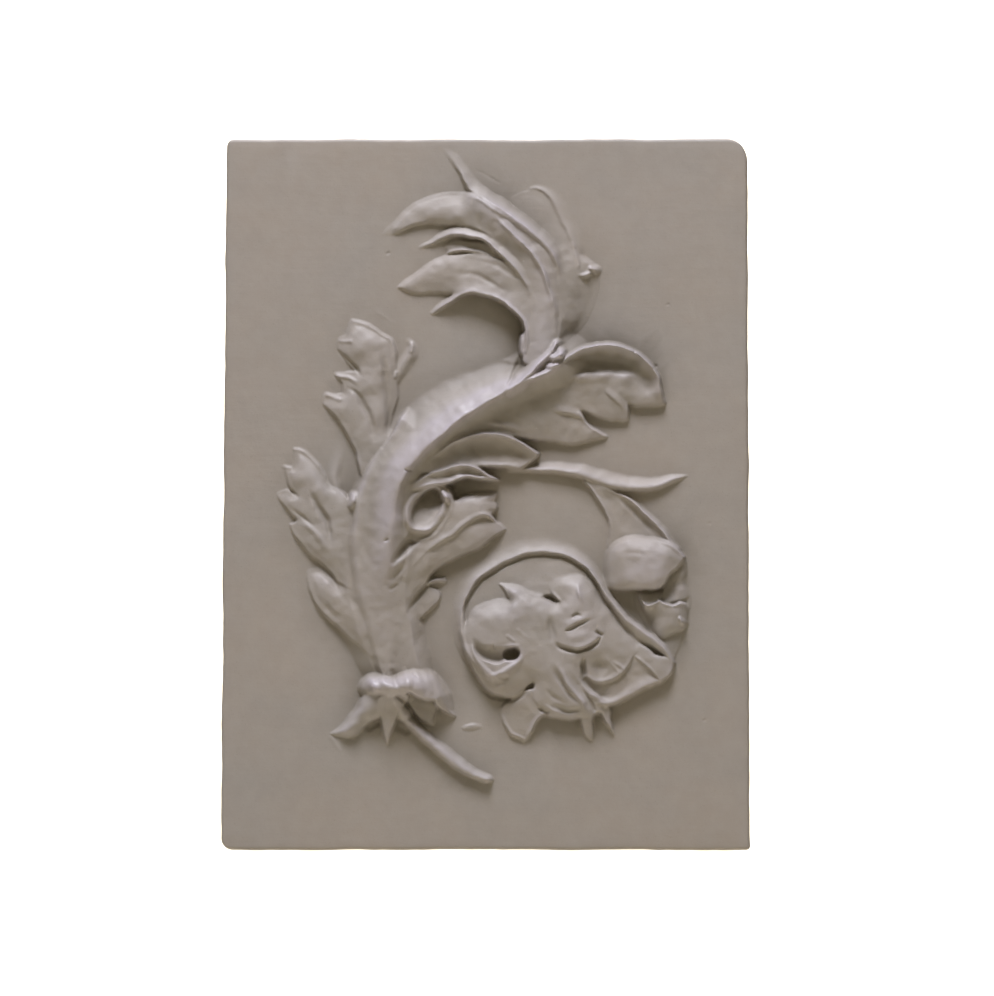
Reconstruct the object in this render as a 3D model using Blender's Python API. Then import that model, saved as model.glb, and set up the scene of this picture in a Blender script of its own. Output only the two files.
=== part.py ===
"""A cast plaster wall panel with an acanthus leaf in relief, and a flower inside a round tendril.

The panel hangs flat on a wall. Its back is the plane y = 0, its front faces -Y and +Z is up, with the
origin at the middle of the back. The ornament is modelled as heights over the face of the slab, drawn
with three tools: a stroke along a line, a form inside a closed outline, and a vein or groove that is
added along a line. Places and heights of the ornament are in millimetres, and the mesh is in metres.
"""

import bpy
import numpy as np

MM = 0.001

# Panel
PANEL_HEIGHT = 450.0
SLAB_DEPTH = 30.0
LEFT_AT_TOP = -162.6
LEFT_AT_BOTTOM = -167.7
RIGHT_AT_TOP = 165.2
RIGHT_AT_BOTTOM = 166.8
EDGE_ROUNDING = 2.5
CORNER_RADIUS = {"top_left": 5.0, "top_right": 14.0, "bottom_left": 8.0, "bottom_right": 3.0}

# Plaster
PLASTER_COLOUR = (0.30, 0.265, 0.235, 1.0)
PLASTER_ROUGHNESS = 0.55

# Modelling
GRID_STEP = 1.25
GRID_HALF_WIDTH = 172.5
GRID_HALF_HEIGHT = 230.0
WALL_SLOPE = 2.6
TOOL_SOFTNESS = 0.9
FACE_TRIANGLES = 9400

# Sections across a form, from its crest (0) to its foot (1)
SECTIONS = {
    "round": lambda q: 1 - q**2,
    "dome": lambda q: np.sqrt(np.maximum(1 - q**2, 0)),
    "scoop": lambda q: (1 - q) ** 2,
    "bell": lambda q: 0.5 + 0.5 * np.cos(np.pi * q),
    "ledge": lambda q: 1 - q**4,
}


def smooth_line(points, per_span):
    """A Catmull-Rom line through the points; a point given twice makes a corner."""
    points = np.asarray(points, float)
    ends = np.vstack([2 * points[0] - points[1], points, 2 * points[-1] - points[-2]])
    if np.allclose(points[0], points[-1]):
        ends[0] = points[-2]
        ends[-1] = points[1]
    spans = []
    t = np.linspace(0, 1, per_span, endpoint=False)[:, None]
    for before, start, stop, after in zip(ends[:-3], ends[1:-2], ends[2:-1], ends[3:]):
        if np.allclose(start, stop):
            continue
        slope = (stop - before) * t
        bend = (2 * before - 5 * start + 4 * stop - after) * t**2
        twist = (3 * start - before - 3 * stop + after) * t**3
        spans.append(0.5 * (2 * start + slope + bend + twist))
    spans.append(points[-1:])
    return np.vstack(spans)


def spread(values, t):
    """Values set evenly along a line, read at t from 0 to 1."""
    values = np.atleast_1d(np.asarray(values, float))
    if len(values) == 1:
        return np.full_like(t, values[0])
    return np.interp(t, np.linspace(0, 1, len(values)), values)


def blend_up(low, high, softness):
    """The higher of two surfaces, with a fillet where they meet; it fades out at the ground."""
    top = np.maximum(low, high)
    width = softness * np.clip(np.abs(top) / 4, 0.05, 1)
    return top + np.maximum(width - np.abs(low - high), 0) ** 2 / (4 * width)


def bent_plate(points, grid_x, grid_z):
    """The height of a thin plate bent through the points (x, z, height)."""
    points = np.asarray(points, float)
    scale = 30.0
    stiffness = 0.02
    count = len(points)

    def kernel(distance_squared):
        return 0.5 * distance_squared * np.log(distance_squared + 1e-12)

    across = (points[:, None, 0] - points[None, :, 0]) / scale
    up = (points[:, None, 1] - points[None, :, 1]) / scale
    plane = np.column_stack([np.ones(count), points[:, 0] / scale, points[:, 1] / scale])
    system = np.zeros((count + 3, count + 3))
    system[:count, :count] = kernel(across**2 + up**2) + np.eye(count) * stiffness
    system[:count, count:] = plane
    system[count:, :count] = plane.T
    weights = np.linalg.solve(system, np.concatenate([points[:, 2], np.zeros(3)]))
    height = weights[count] + (weights[count + 1] * grid_x + weights[count + 2] * grid_z) / scale
    for (x, z, _), weight in zip(points, weights):
        height = height + weight * kernel(((grid_x - x) ** 2 + (grid_z - z) ** 2) / scale**2)
    return height


class Relief:
    """Heights over the slab's face, on an even grid."""

    def __init__(self):
        self.x = np.arange(-GRID_HALF_WIDTH, GRID_HALF_WIDTH + GRID_STEP / 2, GRID_STEP)
        self.z = np.arange(-GRID_HALF_HEIGHT, GRID_HALF_HEIGHT + GRID_STEP / 2, GRID_STEP)
        self.height = np.zeros((len(self.z), len(self.x)))

    def window(self, line, reach):
        low = line.min(0) - reach
        high = line.max(0) + reach
        columns = slice(*np.searchsorted(self.x, [low[0], high[0]]))
        rows = slice(*np.searchsorted(self.z, [low[1], high[1]]))
        grid_x, grid_z = np.meshgrid(self.x[columns], self.z[rows])
        return (rows, columns), grid_x, grid_z

    def nearest(self, line, grid_x, grid_z):
        """For each grid point: the way along the line, the distance to it, and the side it lies on."""
        best = np.full(grid_x.shape, np.inf)
        way = np.zeros(grid_x.shape)
        side = np.zeros(grid_x.shape)
        steps = np.diff(line, axis=0)
        lengths = np.hypot(steps[:, 0], steps[:, 1])
        starts = np.concatenate([[0], np.cumsum(lengths)])
        for (x, z), (dx, dz), length, start in zip(line[:-1], steps, lengths, starts):
            part = np.clip(((grid_x - x) * dx + (grid_z - z) * dz) / length**2, 0, 1)
            distance = (grid_x - x - part * dx) ** 2 + (grid_z - z - part * dz) ** 2
            closer = distance < best
            best = np.where(closer, distance, best)
            way = np.where(closer, (start + part * length) / starts[-1], way)
            side = np.where(closer, dx * (grid_z - z) - dz * (grid_x - x), side)
        return way, np.sqrt(best), side > 0

    def put(self, place, surface, mode, softness):
        """Raises the relief to the surface, or cuts it down to the surface."""
        old = self.height[place]
        if mode == "cut":
            self.height[place] = -blend_up(-old, -surface, softness)
        else:
            self.height[place] = blend_up(old, surface, softness)

    def stroke(self, points, crest, left, right=None, soft=1.2, mode="raise", wall=WALL_SLOPE):
        """A form along a line. left and right hold the width, the foot's height and the section."""
        right = right or left
        line = smooth_line(points, 12)
        reach = max(np.max(left[0]), np.max(right[0])) + 30 / abs(wall)
        place, grid_x, grid_z = self.window(line, min(reach, 45))
        way, distance, is_left = self.nearest(line, grid_x, grid_z)
        sides = []
        for width, foot, section in (left, right):
            width = np.maximum(spread(width, way), 0.05)
            foot = spread(foot, way)
            rise = (spread(crest, way) - foot) * SECTIONS[section](np.clip(distance / width, 0, 1))
            sides.append(foot + rise - np.maximum(distance - width, 0) * wall)
        self.put(place, np.where(is_left, *sides), mode, soft)

    def form(self, outline, spots=(), edge=1.6, soft=1.2, wall=WALL_SLOPE, mode="raise"):
        """A surface inside a closed outline, with heights on the outline and on spots inside it."""
        border = smooth_line(list(outline) + [outline[0]], 8)
        place, grid_x, grid_z = self.window(border[:, :2], 30 / abs(wall))
        best = np.full(grid_x.shape, np.inf)
        rim = np.zeros(grid_x.shape)
        inside = np.zeros(grid_x.shape, bool)
        for (ax, az, a_height), (bx, bz, b_height) in zip(border[:-1], border[1:]):
            dx = bx - ax
            dz = bz - az
            part = np.clip(((grid_x - ax) * dx + (grid_z - az) * dz) / (dx * dx + dz * dz), 0, 1)
            distance = (grid_x - ax - part * dx) ** 2 + (grid_z - az - part * dz) ** 2
            closer = distance < best
            best = np.where(closer, distance, best)
            rim = np.where(closer, a_height + part * (b_height - a_height), rim)
            if az != bz:
                level = (az > grid_z) != (bz > grid_z)
                inside ^= level & (grid_x < dx * (grid_z - az) / dz + ax)
        distance = np.sqrt(best)
        known = {(x, z): height for x, z, height in list(outline) + list(spots)}
        plate = bent_plate([(x, z, height) for (x, z), height in known.items()], grid_x, grid_z)
        rounding = 1 - np.sqrt(np.maximum(1 - np.clip(1 - distance / edge, 0, 1) ** 2, 0))
        sign = -1 if mode == "cut" else 1
        share = np.clip(distance / 3, 0, 1)
        within = rim * (1 - share) + plate * share - sign * edge * rounding
        beyond = rim - sign * edge - distance * wall
        self.put(place, np.where(inside, within, beyond), mode, soft)

    def add(self, points, height, width, right_width=None, section="bell"):
        """Adds height along a line, fading to nothing at the width: a vein, or a groove when it is negative."""
        right_width = width if right_width is None else right_width
        line = smooth_line(points, 12)
        place, grid_x, grid_z = self.window(line, max(np.max(width), np.max(right_width)) + GRID_STEP)
        way, distance, is_left = self.nearest(line, grid_x, grid_z)
        width = np.where(is_left, spread(width, way), spread(right_width, way))
        self.height[place] += spread(height, way) * SECTIONS[section](np.clip(distance / width, 0, 1))

    def soften(self, radius):
        """Rounds all edges a little, as tools and casting do."""
        spread_cells = radius / GRID_STEP
        reach = int(3 * spread_cells + 1)
        weights = np.exp(-0.5 * (np.arange(-reach, reach + 1) / spread_cells) ** 2)
        weights /= weights.sum()
        padded = np.pad(self.height, reach, mode="edge")
        rows, columns = self.height.shape
        by_row = sum(weight * padded[i : i + rows] for i, weight in enumerate(weights))
        self.height = sum(weight * by_row[:, i : i + columns] for i, weight in enumerate(weights))

    def read(self, x, z):
        """The height at any points, between the grid's own."""
        across = (x + GRID_HALF_WIDTH) / GRID_STEP
        up = (z + GRID_HALF_HEIGHT) / GRID_STEP
        column = np.clip(across.astype(int), 0, len(self.x) - 2)
        row = np.clip(up.astype(int), 0, len(self.z) - 2)
        right = across - column
        above = up - row
        low = self.height[row, column] * (1 - right) + self.height[row, column + 1] * right
        high = self.height[row + 1, column] * (1 - right) + self.height[row + 1, column + 1] * right
        return low * (1 - above) + high * above


def carve_leaf_back(relief):
    """The leaf's back: a low swell that carries the left lobes, and the crest that sweeps up to the right."""
    swell = [(-68, -112), (-82, -55), (-86, -25), (-82, 0), (-60, 30)]
    relief.stroke(swell, [7, 8.5, 9, 9, 7], ([6, 18, 20, 14, 8], 0, "bell"), (20, 6, "ledge"), 3, wall=1)
    crest = [(-62, -118), (-66, -60), (-62, -25), (-55, 5), (-47, 21), (-29, 38), (-9, 52), (12, 65.5), (43, 84)]
    relief.stroke(
        crest,
        [12, 12.5, 14, 17.5, 19.5, 20.5, 21, 20.5, 18],
        ([8, 16, 22, 28, 34, 32, 28, 26, 14], [5, 7, 6, 3, 1, 0, 0, 0, 0], "bell"),
        ([8, 16, 13, 8, 7, 8, 9, 9, 6], [1, 6, 8, 7, 5, 5, 5, 5, 5], "bell"),
        2.5,
        wall=0.8,
    )


def carve_left_lobes(relief):
    """Three groups of low lobes down the leaf's left side."""
    lowest = [(-114, -48, 3), (-114, -48, 3), (-97, -58, 8), (-78, -74, 9), (-66, -112, 8), (-77, -99, 6)]
    relief.form(lowest + [(-101, -79, 5), (-110, -69, 5)], [(-103, -64, 9), (-85, -82, 9.5)], 2.5)
    middle = [(-119, 30, 3), (-119, 30, 3), (-103, 16, 6), (-98, 6, 6), (-91, 22, 3), (-82, -8, 8), (-78, -30, 9)]
    middle += [(-82, -56, 8), (-104, -43, 6), (-122, -26, 4), (-127, -15, 3), (-127, -15, 3), (-120, -14, 5)]
    middle += [(-132, 2, 3), (-132, 2, 3), (-123, 6, 4), (-127, 18, 3), (-119, 20, 4)]
    relief.form(middle, [(-105, -12, 8), (-94, -40, 9), (-92, -15, 9), (-112, 8, 8.5)], 2.2)
    relief.add([(-118, 25), (-104, 8), (-100, -2)], [1.5, 3, 0.5], 6)
    relief.add([(-130, -5), (-111, -22), (-104, -30)], [1, 2.6, 0.5], 8, 1.2)
    relief.add([(-109, 0), (-100, -18), (-97, -34)], [-1, -2.4, -0.5], 4)
    top = [(-84, 111.5, 3), (-84, 111.5, 3), (-67, 104, 7), (-57.5, 86, 6), (-51, 62, 4), (-58, 34, 8), (-70, 10, 9)]
    top += [(-79, 10, 6), (-92, 44, 5.5), (-103, 65, 3), (-103, 65, 3), (-89, 62, 6), (-97, 77, 3), (-97, 77, 3)]
    top += [(-85, 79, 6), (-96, 98, 3), (-96, 98, 3), (-86, 99, 5)]
    relief.form(top, [(-74, 92, 11), (-68, 62, 10), (-82, 66, 9), (-80, 45, 9), (-62, 60, 7.5)], 2.2)
    relief.add([(-96, 73), (-80, 63), (-70, 38)], [1.5, 3, 0.3], 7, 1.2)
    relief.add([(-94, 92), (-81, 80), (-77, 72)], [1.5, 3, 0.5], 7, 1.2)
    relief.add([(-66, 98), (-64, 70), (-62, 44)], [-0.5, -2.5, -0.5], 4.5)
    relief.stroke([(-55, 68), (-51, 83), (-50, 101)], [3, 6, 2], ([3, 5, 2], 0, "bell"), soft=2, wall=0.5)


def carve_right_leaf(relief):
    """The leaf that hangs from the crest at the right: a rolled rim over a hollow, and three tips below."""
    rim = [(-44, 24, 12), (-9, 50, 14), (27, 71, 15), (42, 79, 15), (50, 86.5, 17), (60, 92.5, 16.5), (80, 95, 14)]
    rim += [(103, 83.5, 11.5), (109, 74, 10), (114, 57.5, 6), (114, 57.5, 6)]
    tips = [(97, 56, 8), (90, 57, 8), (90, 57, 8), (92, 47.5, 6.5), (92, 47.5, 6.5), (76, 48.5, 8), (62, 52, 8.5)]
    tips += [(62, 52, 8.5), (78, 37, 4.5), (78, 37, 4.5), (58, 32.5, 7.5), (33, 35, 8), (0, 40, 9), (-40, 22, 12)]
    floor = [(30, 66, 8), (48, 79, 10.5), (60, 88, 12), (84, 89, 10.5), (103, 75, 8.5), (60, 78, 7), (80, 78.5, 7)]
    floor += [(12, 54, 8), (60, 68, 8), (92, 65, 8.5), (50, 57, 9), (83, 55, 9.5), (35, 48, 9)]
    relief.form(rim + tips, floor, 1.4, wall=3)
    relief.add([(44, 82), (60, 92), (80, 94.3), (102, 83), (112, 59)], [0.3, 2.2, 2, 1.6, 0.3], 2.6)


def carve_scoops(relief):
    """Two short lobes scooped out under the right leaf."""
    upper = [(-46, 17, 12), (-25, 31.5, 13.5), (-10, 36.5, 13.5), (5, 38.2, 13), (26, 31.5, 10), (33, 25.5, 7)]
    upper += [(33, 25.5, 7), (20, 16.7, 7), (-2, 17, 8), (-30, 15, 11)]
    relief.form(upper, [(-12, 31, 7), (3, 32, 6), (16, 30.5, 5.5), (0, 24, 7)], 1.2, wall=3)
    relief.add([(-42, 20), (-10, 36.2), (5, 37.9), (32.5, 25.5)], [0.2, 2.2, 2.4, 0.8], [2.5, 3, 3, 1.5])
    lower = [(-50, 2, 12), (-25, 17, 13), (-4, 16.8, 12), (9.5, 8.6, 7), (9.5, 8.6, 7), (-10, 9.5, 10), (-42, 3, 12)]
    relief.form(lower, [(-30, 12, 11), (-15, 14.5, 9.5), (-3, 12, 8.5)], 1, wall=4)


def carve_right_fingers(relief):
    """Overlapping fingers at the right of the back, below the eye."""
    under = [(13, -21, 3.5), (13, -21, 3.5), (-8, -12, 8), (-45, -35, 11), (-60, -55, 12), (-58, -80, 10)]
    under += [(-43, -66, 7), (-33, -47, 7), (-15, -37.5, 7), (3, -28, 6)]
    relief.form(under, [(-12, -27, 8), (-32, -38, 9.5), (-45, -52, 10.5)], 1.4, wall=3)
    upper = [(8.5, 1, 4), (8.5, 1, 4), (-14, 0.5, 8), (-26, -12, 10.5), (-44, -27, 12), (-62, -50, 13)]
    upper += [(-47, -46.5, 11), (-25, -28.5, 10.5), (-8, -14.8, 10), (7, -17, 6.5), (7, -17, 6.5), (5.5, -11, 7)]
    relief.form(upper, [(-10, -8, 9.5), (-25, -20, 10.5), (-40, -34, 11)], 1.2, wall=3)
    relief.add([(-57, -44), (-51, -33), (-46, -26)], [-3.5, -4.5, -2.5], 4)
    lowest = [(-29, -57, 2.5), (-29, -57, 2.5), (-47, -69, 7), (-56, -96, 9), (-45, -82, 6), (-30, -65, 4)]
    relief.form(lowest, [(-38, -67, 7), (-47, -79, 8)], 1.2)


def carve_eye(relief):
    """The round eye between two lobes, with a ball at its upper right."""
    relief.stroke([(-36, -5), (-41, -15)], [12, 13.5], (15, 9, "bell"), soft=3)
    hole = [(-31, 1.5, 2), (-38, 1.5, 3), (-46.5, -9, 6), (-44, -19.5, 10.5), (-34, -15, 10), (-29, -6, 5)]
    relief.form(hole, [(-36, -3, 1), (-39, -10, 4.5)], 0.8, 1, -4, "cut")
    ring = [(-30, 2.5), (-38, 3.2), (-49.3, -10), (-45, -22), (-32, -16), (-27, -3)]
    relief.add(ring, [1, 2, 2, 2.2, 1.6, 1], 2.6)
    relief.stroke([(-24.5, 3.5), (-24, -6)], [14, 12], (3.5, 8, "round"))


def carve_top_leaf(relief):
    """The leaf that curls over to the left at the top."""
    wing = [(40, 96, 13), (38, 142, 13), (46, 156, 9), (64, 151, 7), (71.5, 135, 2.5), (63, 106, 2.5), (48, 90, 12)]
    relief.form(wing, [(52, 112, 9.5), (58, 130, 7.5), (54, 146, 9)], 2, 2)
    band = [(36, 84, 14), (44.5, 115, 15), (36, 146, 15), (15, 172, 14.5), (-10, 189, 12.5), (-35, 189, 8.5)]
    band += [(-59, 174.5, 5), (-68, 162, 2), (-68, 162, 2), (-48, 168, 7), (-14, 170.5, 8), (9, 162.5, 9.5)]
    band += [(23, 144, 11), (28, 115, 11), (24, 86, 11)]
    relief.form(band, [(-35, 181, 9.5), (-15, 182, 11.5), (0, 177, 12), (30, 140, 13), (35, 110, 13.5)], 2, 1.5)
    inner = [(-57, 132, 3.5), (-57, 132, 3.5), (-42, 142.5, 5.5), (-24, 150.5, 7), (5, 147.5, 7), (20, 134, 9)]
    inner += [(38, 122, 13), (31, 86, 13), (24, 88, 11), (23.5, 109, 12.5), (9, 124.5, 12.5), (-12, 129.8, 11)]
    inner += [(-32, 126.8, 7.5), (-51, 128.5, 5.5)]
    relief.form(inner, [(-40, 135, 8.5), (-12, 142, 9.5), (12, 132, 11)], 1.6, wall=3)
    spine = [(48, 146), (33, 162.5), (8, 179.5), (-4, 187), (-14, 196), (-25, 216)]
    left = ([3, 4.5, 5, 4.5, 3.5, 2], [8, 11, 11, 10, 5, 1], "bell")
    relief.stroke(spine, [10, 14.5, 16, 16, 13, 3], left, ([7, 7, 7, 7, 6, 3], 0, "round"), 2, wall=1)
    relief.add([(43.5, 100), (42, 129), (26, 156), (4, 176)], [0.8, 1.8, 2.2, 0.4], 5, 2.2, "scoop")
    middle_rim = [(30, 124), (21, 141), (8, 155.5), (-10, 165.5), (-30, 161), (-42, 155.5)]
    left = (2, [11, 10, 8, 7, 6, 3], "round")
    relief.stroke(middle_rim, [12, 13.5, 13, 12, 10, 4.5], left, ([3, 5, 4.5, 4, 3, 1], [10, 10, 9, 8, 5, 3], "round"), 1)
    relief.stroke([(16, 141), (-3, 151), (-25.5, 151.5)], [8, 9.5, 5], (2, [7, 6, 3], "round"), soft=0.8)
    relief.add([(-14, 149.5), (8, 143), (17, 137.5)], [-0.5, -4, -2], [1.5, 3.5, 2.5])
    lower_rim = [(24, 86), (25.3, 98), (19, 115.5), (2, 127.5), (-18, 126.5), (-35.5, 113.5)]
    left = (1.6, [10, 11, 11, 10, 7, 2], "round")
    right = ([3, 4, 4.5, 4.5, 3, 1], [11, 12, 12, 11, 7, 2], "round")
    relief.stroke(lower_rim, [13, 14.5, 15, 14.5, 11.5, 3], left, right, 1, wall=4)
    ear = [(60, 142), (55.5, 160), (46.5, 180.5), (38, 192), (29, 194)]
    relief.stroke(ear, [9, 7, 6.5, 5.5, 3], (2.2, [5, 2, 1, 1, 0.5], "bell"), ([7, 9, 8, 6, 2], 0, "bell"), wall=1)
    relief.stroke([(60, 139), (69.5, 143)], [10, 10.5], (4, 4, "round"), soft=1)


def carve_throat(relief):
    """The folds where the two upper leaves part from the crest."""
    fold = [(14, 66.5), (32, 79.5), (44, 97)]
    relief.stroke(fold, [20.5, 18.5, 15], (3.8, [14, 14, 12], "round"), (3, [15, 14, 10], "round"), 1)
    relief.add([(14, 71), (19, 78), (23, 86)], [-3, -5, -3], 2.5)
    relief.stroke([(44, 88), (49.5, 88.5)], [21, 21], (3, 16, "round"), soft=1)


def carve_tendrils(relief):
    """The long tendril to the right, and the sheath below it that ends in the small flower."""
    tendril = [(12, 15), (45, 15), (60, 11.5), (85, 4.6), (98, 4), (110, 6.5), (126, 13.5)]
    above = ([1.5, 3.5, 4.5, 9, 8.5, 6, 1.5], 0, "bell")
    relief.stroke(tendril, [5, 7, 7.5, 7.5, 7.5, 6, 2], above, ([1.2, 1.5, 1.8, 2.5, 2.3, 2, 0.8], 3, "round"), 0.8)
    sheath = [(64, 8, 4), (86, 3, 5.5), (104, -13, 6), (120, -34, 7), (98, -36, 6), (78, -38, 3), (77, -13, 4)]
    relief.form(sheath, [(82, -5, 3), (90, -16, 3), (98, -26, 4.5)], 1, 1)
    relief.add([(60, 9.5), (73, -5), (79, -24), (78, -34)], [1, 2, 1.4, 0.3], 2.2)
    relief.add([(88, 1), (104, -14), (120, -35)], [1, 2.4, 2.6], 2.6)


def carve_small_flower(relief):
    """The bell-shaped flower at the right, with its open mouth and lower lip."""
    bell = [(74, -40, 5), (84, -30.5, 8), (106, -28.5, 10), (127, -41, 8), (127, -41, 8), (115, -54, 12.5)]
    bell += [(110, -59.5, 13), (93, -59, 12), (82, -59.5, 8), (73, -48, 5)]
    relief.form(bell, [(88, -44, 13.5), (100, -40, 15), (110, -42, 15), (98, -52, 15.5)], 1.8, wall=3)
    relief.form([(112, -58, 6), (124, -44, 5), (127, -62, 3), (114, -68, 7)], (), 1.5)
    lip = [(95, -62, 8), (98, -67.5, 11), (116, -69, 12), (128, -61, 6), (128, -61, 6), (127.5, -80, 6), (118, -89, 7)]
    relief.form(lip + [(111, -91.5, 6), (99, -76, 6)], [(108, -76, 8.5), (118, -78, 9)], 1.4)
    apron = [(94, -62, 3), (102, -85, 4), (116, -104, 5), (126, -88, 2.5), (128, -60, 2.5)]
    relief.form(apron, (), 1.5, wall=1.2)


def carve_round_tendril(relief):
    """The tendril that goes around the open flower, and the arc that closes it below."""
    ring = [(118, -113), (98, -89.5), (79, -65.5), (61, -43), (48, -37.6), (34, -36.2), (20, -39), (-2, -52)]
    ring += [(-14.5, -75), (-14.8, -88), (-4, -112), (3, -119)]
    inner = ([4.5, 4, 2.6, 2.2, 2, 2, 2, 2, 2.6, 3, 3.4, 3], [6, 4, 3, 3, 3, 3, 3, 3, 3, 4, 5, 5], "round")
    outer = ([4.5, 3, 3, 6, 7, 7.5, 7.5, 6, 4, 3.5, 3, 3], [4, 3, 1, 0, 0, 0, 0, 0, 0, 0, 2, 2], "bell")
    relief.stroke(ring, [10, 9, 9.5, 10, 9.5, 9, 8.5, 8, 8.5, 9, 10, 10], inner, outer, 0.8)
    arc = [(72, -133), (90, -129), (110, -118.5), (119, -113)]
    relief.stroke(arc, [10, 9.5, 10, 9], ([6, 9, 8, 5], [3, 2, 3, 6], "bell"), (1.5, 4, "round"), 0.8)


def carve_flower(relief):
    """The open flower inside the round tendril, seen from the side."""
    mass = [(-9, -76, 8), (2, -66, 10), (28, -66, 12), (46, -70, 12), (58, -66, 13), (78, -84, 10), (95, -103, 8)]
    mass += [(76, -100, 12), (61, -108, 12), (62, -118, 10), (73, -135, 8), (58, -141.5, 8.5), (38, -138.5, 8)]
    mass += [(28, -128, 9), (29, -119, 9), (15, -128, 7), (-3, -118, 8), (-13, -92, 9)]
    swell = [(5, -77, 13), (18, -78, 14), (30, -82, 14), (10, -90, 12), (42, -90, 13), (38, -110, 13)]
    swell += [(45, -125, 12), (60, -98, 13), (12, -119, 11), (0, -112, 11), (80, -93, 12)]
    relief.form(mass, swell, 2, wall=3)
    left_petal = [(7.5, -55.5, 6), (7.5, -55.5, 6), (33, -62.5, 10), (38, -72, 12), (26, -82, 13), (15.5, -68, 10)]
    relief.form(left_petal, [(22, -68, 12)], 1.4, wall=3)
    right_petal = [(45, -51, 7), (55, -48.5, 7), (64, -51, 7), (78, -72, 9), (76, -86, 10), (52, -76, 13)]
    relief.form(right_petal + [(47, -69, 12)], [(58, -60, 12), (65, -70, 13)], 1.8, wall=3)
    relief.add([(50, -86), (56, -83), (63, -79.5)], [-1.5, -3.5, -3], 2.4)
    relief.stroke([(48, -90), (56, -90), (71, -85)], [13, 15.5, 12], ([3, 6, 2], 12, "bell"), soft=1)
    relief.add([(42, -91), (55, -98), (70, -91.5)], [-1, -4, -4], 2.4)
    relief.add([(-9, -95), (0, -104), (8, -104.5), (15, -100)], [-2, -6, -6, -5], 4.5)
    relief.stroke([(15, -99.8), (16.5, -100.3)], [0, 0], (3.2, 7, "scoop"), None, 0.8, "cut", -5)
    relief.add([(-12, -97), (0, -116), (10, -113.5), (25, -104)], [1.5, 3.6, 3.4, 0.5], 2.8)
    drop = [(23.5, -156, 3), (23.5, -156, 3), (34, -139.5, 7), (38, -130, 10), (28, -122, 10), (10, -139, 5)]
    relief.form(drop + [(9, -144, 4)], [(24, -135, 7), (23, -146, 4.5)], 1.2)
    relief.add([(44, -112), (56, -131), (66, -150)], [0.3, 3, 0.5], 3.5)
    for tip, root in ((67, 60), (81.5, 67)):
        claw = [(tip, -155, 3), (tip, -155, 3), (root + 9, -138, 8), (root, -134, 9)]
        relief.form(claw, (), 1.2)
    mouth = [(61.5, -109, 9), (73, -102, 8), (86, -108, 6), (76, -116.5, 4), (62, -114, 6)]
    relief.form(mouth, [(72, -109, 4.5)], 0.8, 1, -4, "cut")
    relief.add([(62, -118.5), (79, -119.5), (95, -104)], [0.5, 1.8, 0.5], 2)


def carve_husk(relief):
    """The husk at the foot of the leaf, its three sepals, and the cut stem."""
    stem = [(-54, -136), (-34, -159.5), (-11, -176), (0, -180.8)]
    relief.stroke(stem, [11, 9, 8, 7], (4.4, 1.5, "dome"), soft=0.8)
    left = [(-99, -153, 2.5), (-99, -153, 2.5), (-85, -137, 8), (-81, -127, 11), (-66, -127, 15), (-64, -138, 11)]
    relief.form(left + [(-78, -150, 7), (-87, -154.5, 5)], [(-82, -142, 10), (-74, -134, 12)])
    middle = [(-62, -158.5, 3), (-62, -158.5, 3), (-69, -140, 9), (-68, -128, 14), (-52, -128, 14), (-54, -140, 10)]
    relief.form(middle, [(-62, -146, 8), (-61, -135, 12)])
    right = [(-32, -147.5, 3), (-32, -147.5, 3), (-47, -136, 7), (-53, -126, 11), (-30, -128, 9), (-33, -138, 6)]
    relief.form(right, [(-41, -133, 7)], 1)
    relief.add([(-56, -127), (-43, -141), (-36, -145.5)], [-2, -4, -1], 2.4)
    relief.stroke([(-58, -127), (-50, -144)], [14, 10.5], (4.5, 6, "round"), soft=1)
    cap = [(-80, -128, 9), (-71, -113.5, 14), (-46, -108.5, 12), (-26, -121, 9), (-18.5, -141, 4), (-18.5, -141, 4)]
    cap += [(-34, -130.5, 13), (-52, -126.5, 18), (-72, -126, 14)]
    relief.form(cap, [(-68, -119, 21), (-56, -118, 23), (-45, -117, 23), (-36, -121, 19)], 2.4, wall=4)


def carve():
    """The whole ornament, from the lowest layer up."""
    relief = Relief()
    carve_leaf_back(relief)
    carve_left_lobes(relief)
    carve_right_leaf(relief)
    carve_top_leaf(relief)
    carve_throat(relief)
    carve_scoops(relief)
    carve_right_fingers(relief)
    carve_eye(relief)
    carve_tendrils(relief)
    carve_small_flower(relief)
    carve_round_tendril(relief)
    carve_flower(relief)
    carve_husk(relief)
    relief.soften(TOOL_SOFTNESS)
    return relief


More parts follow.
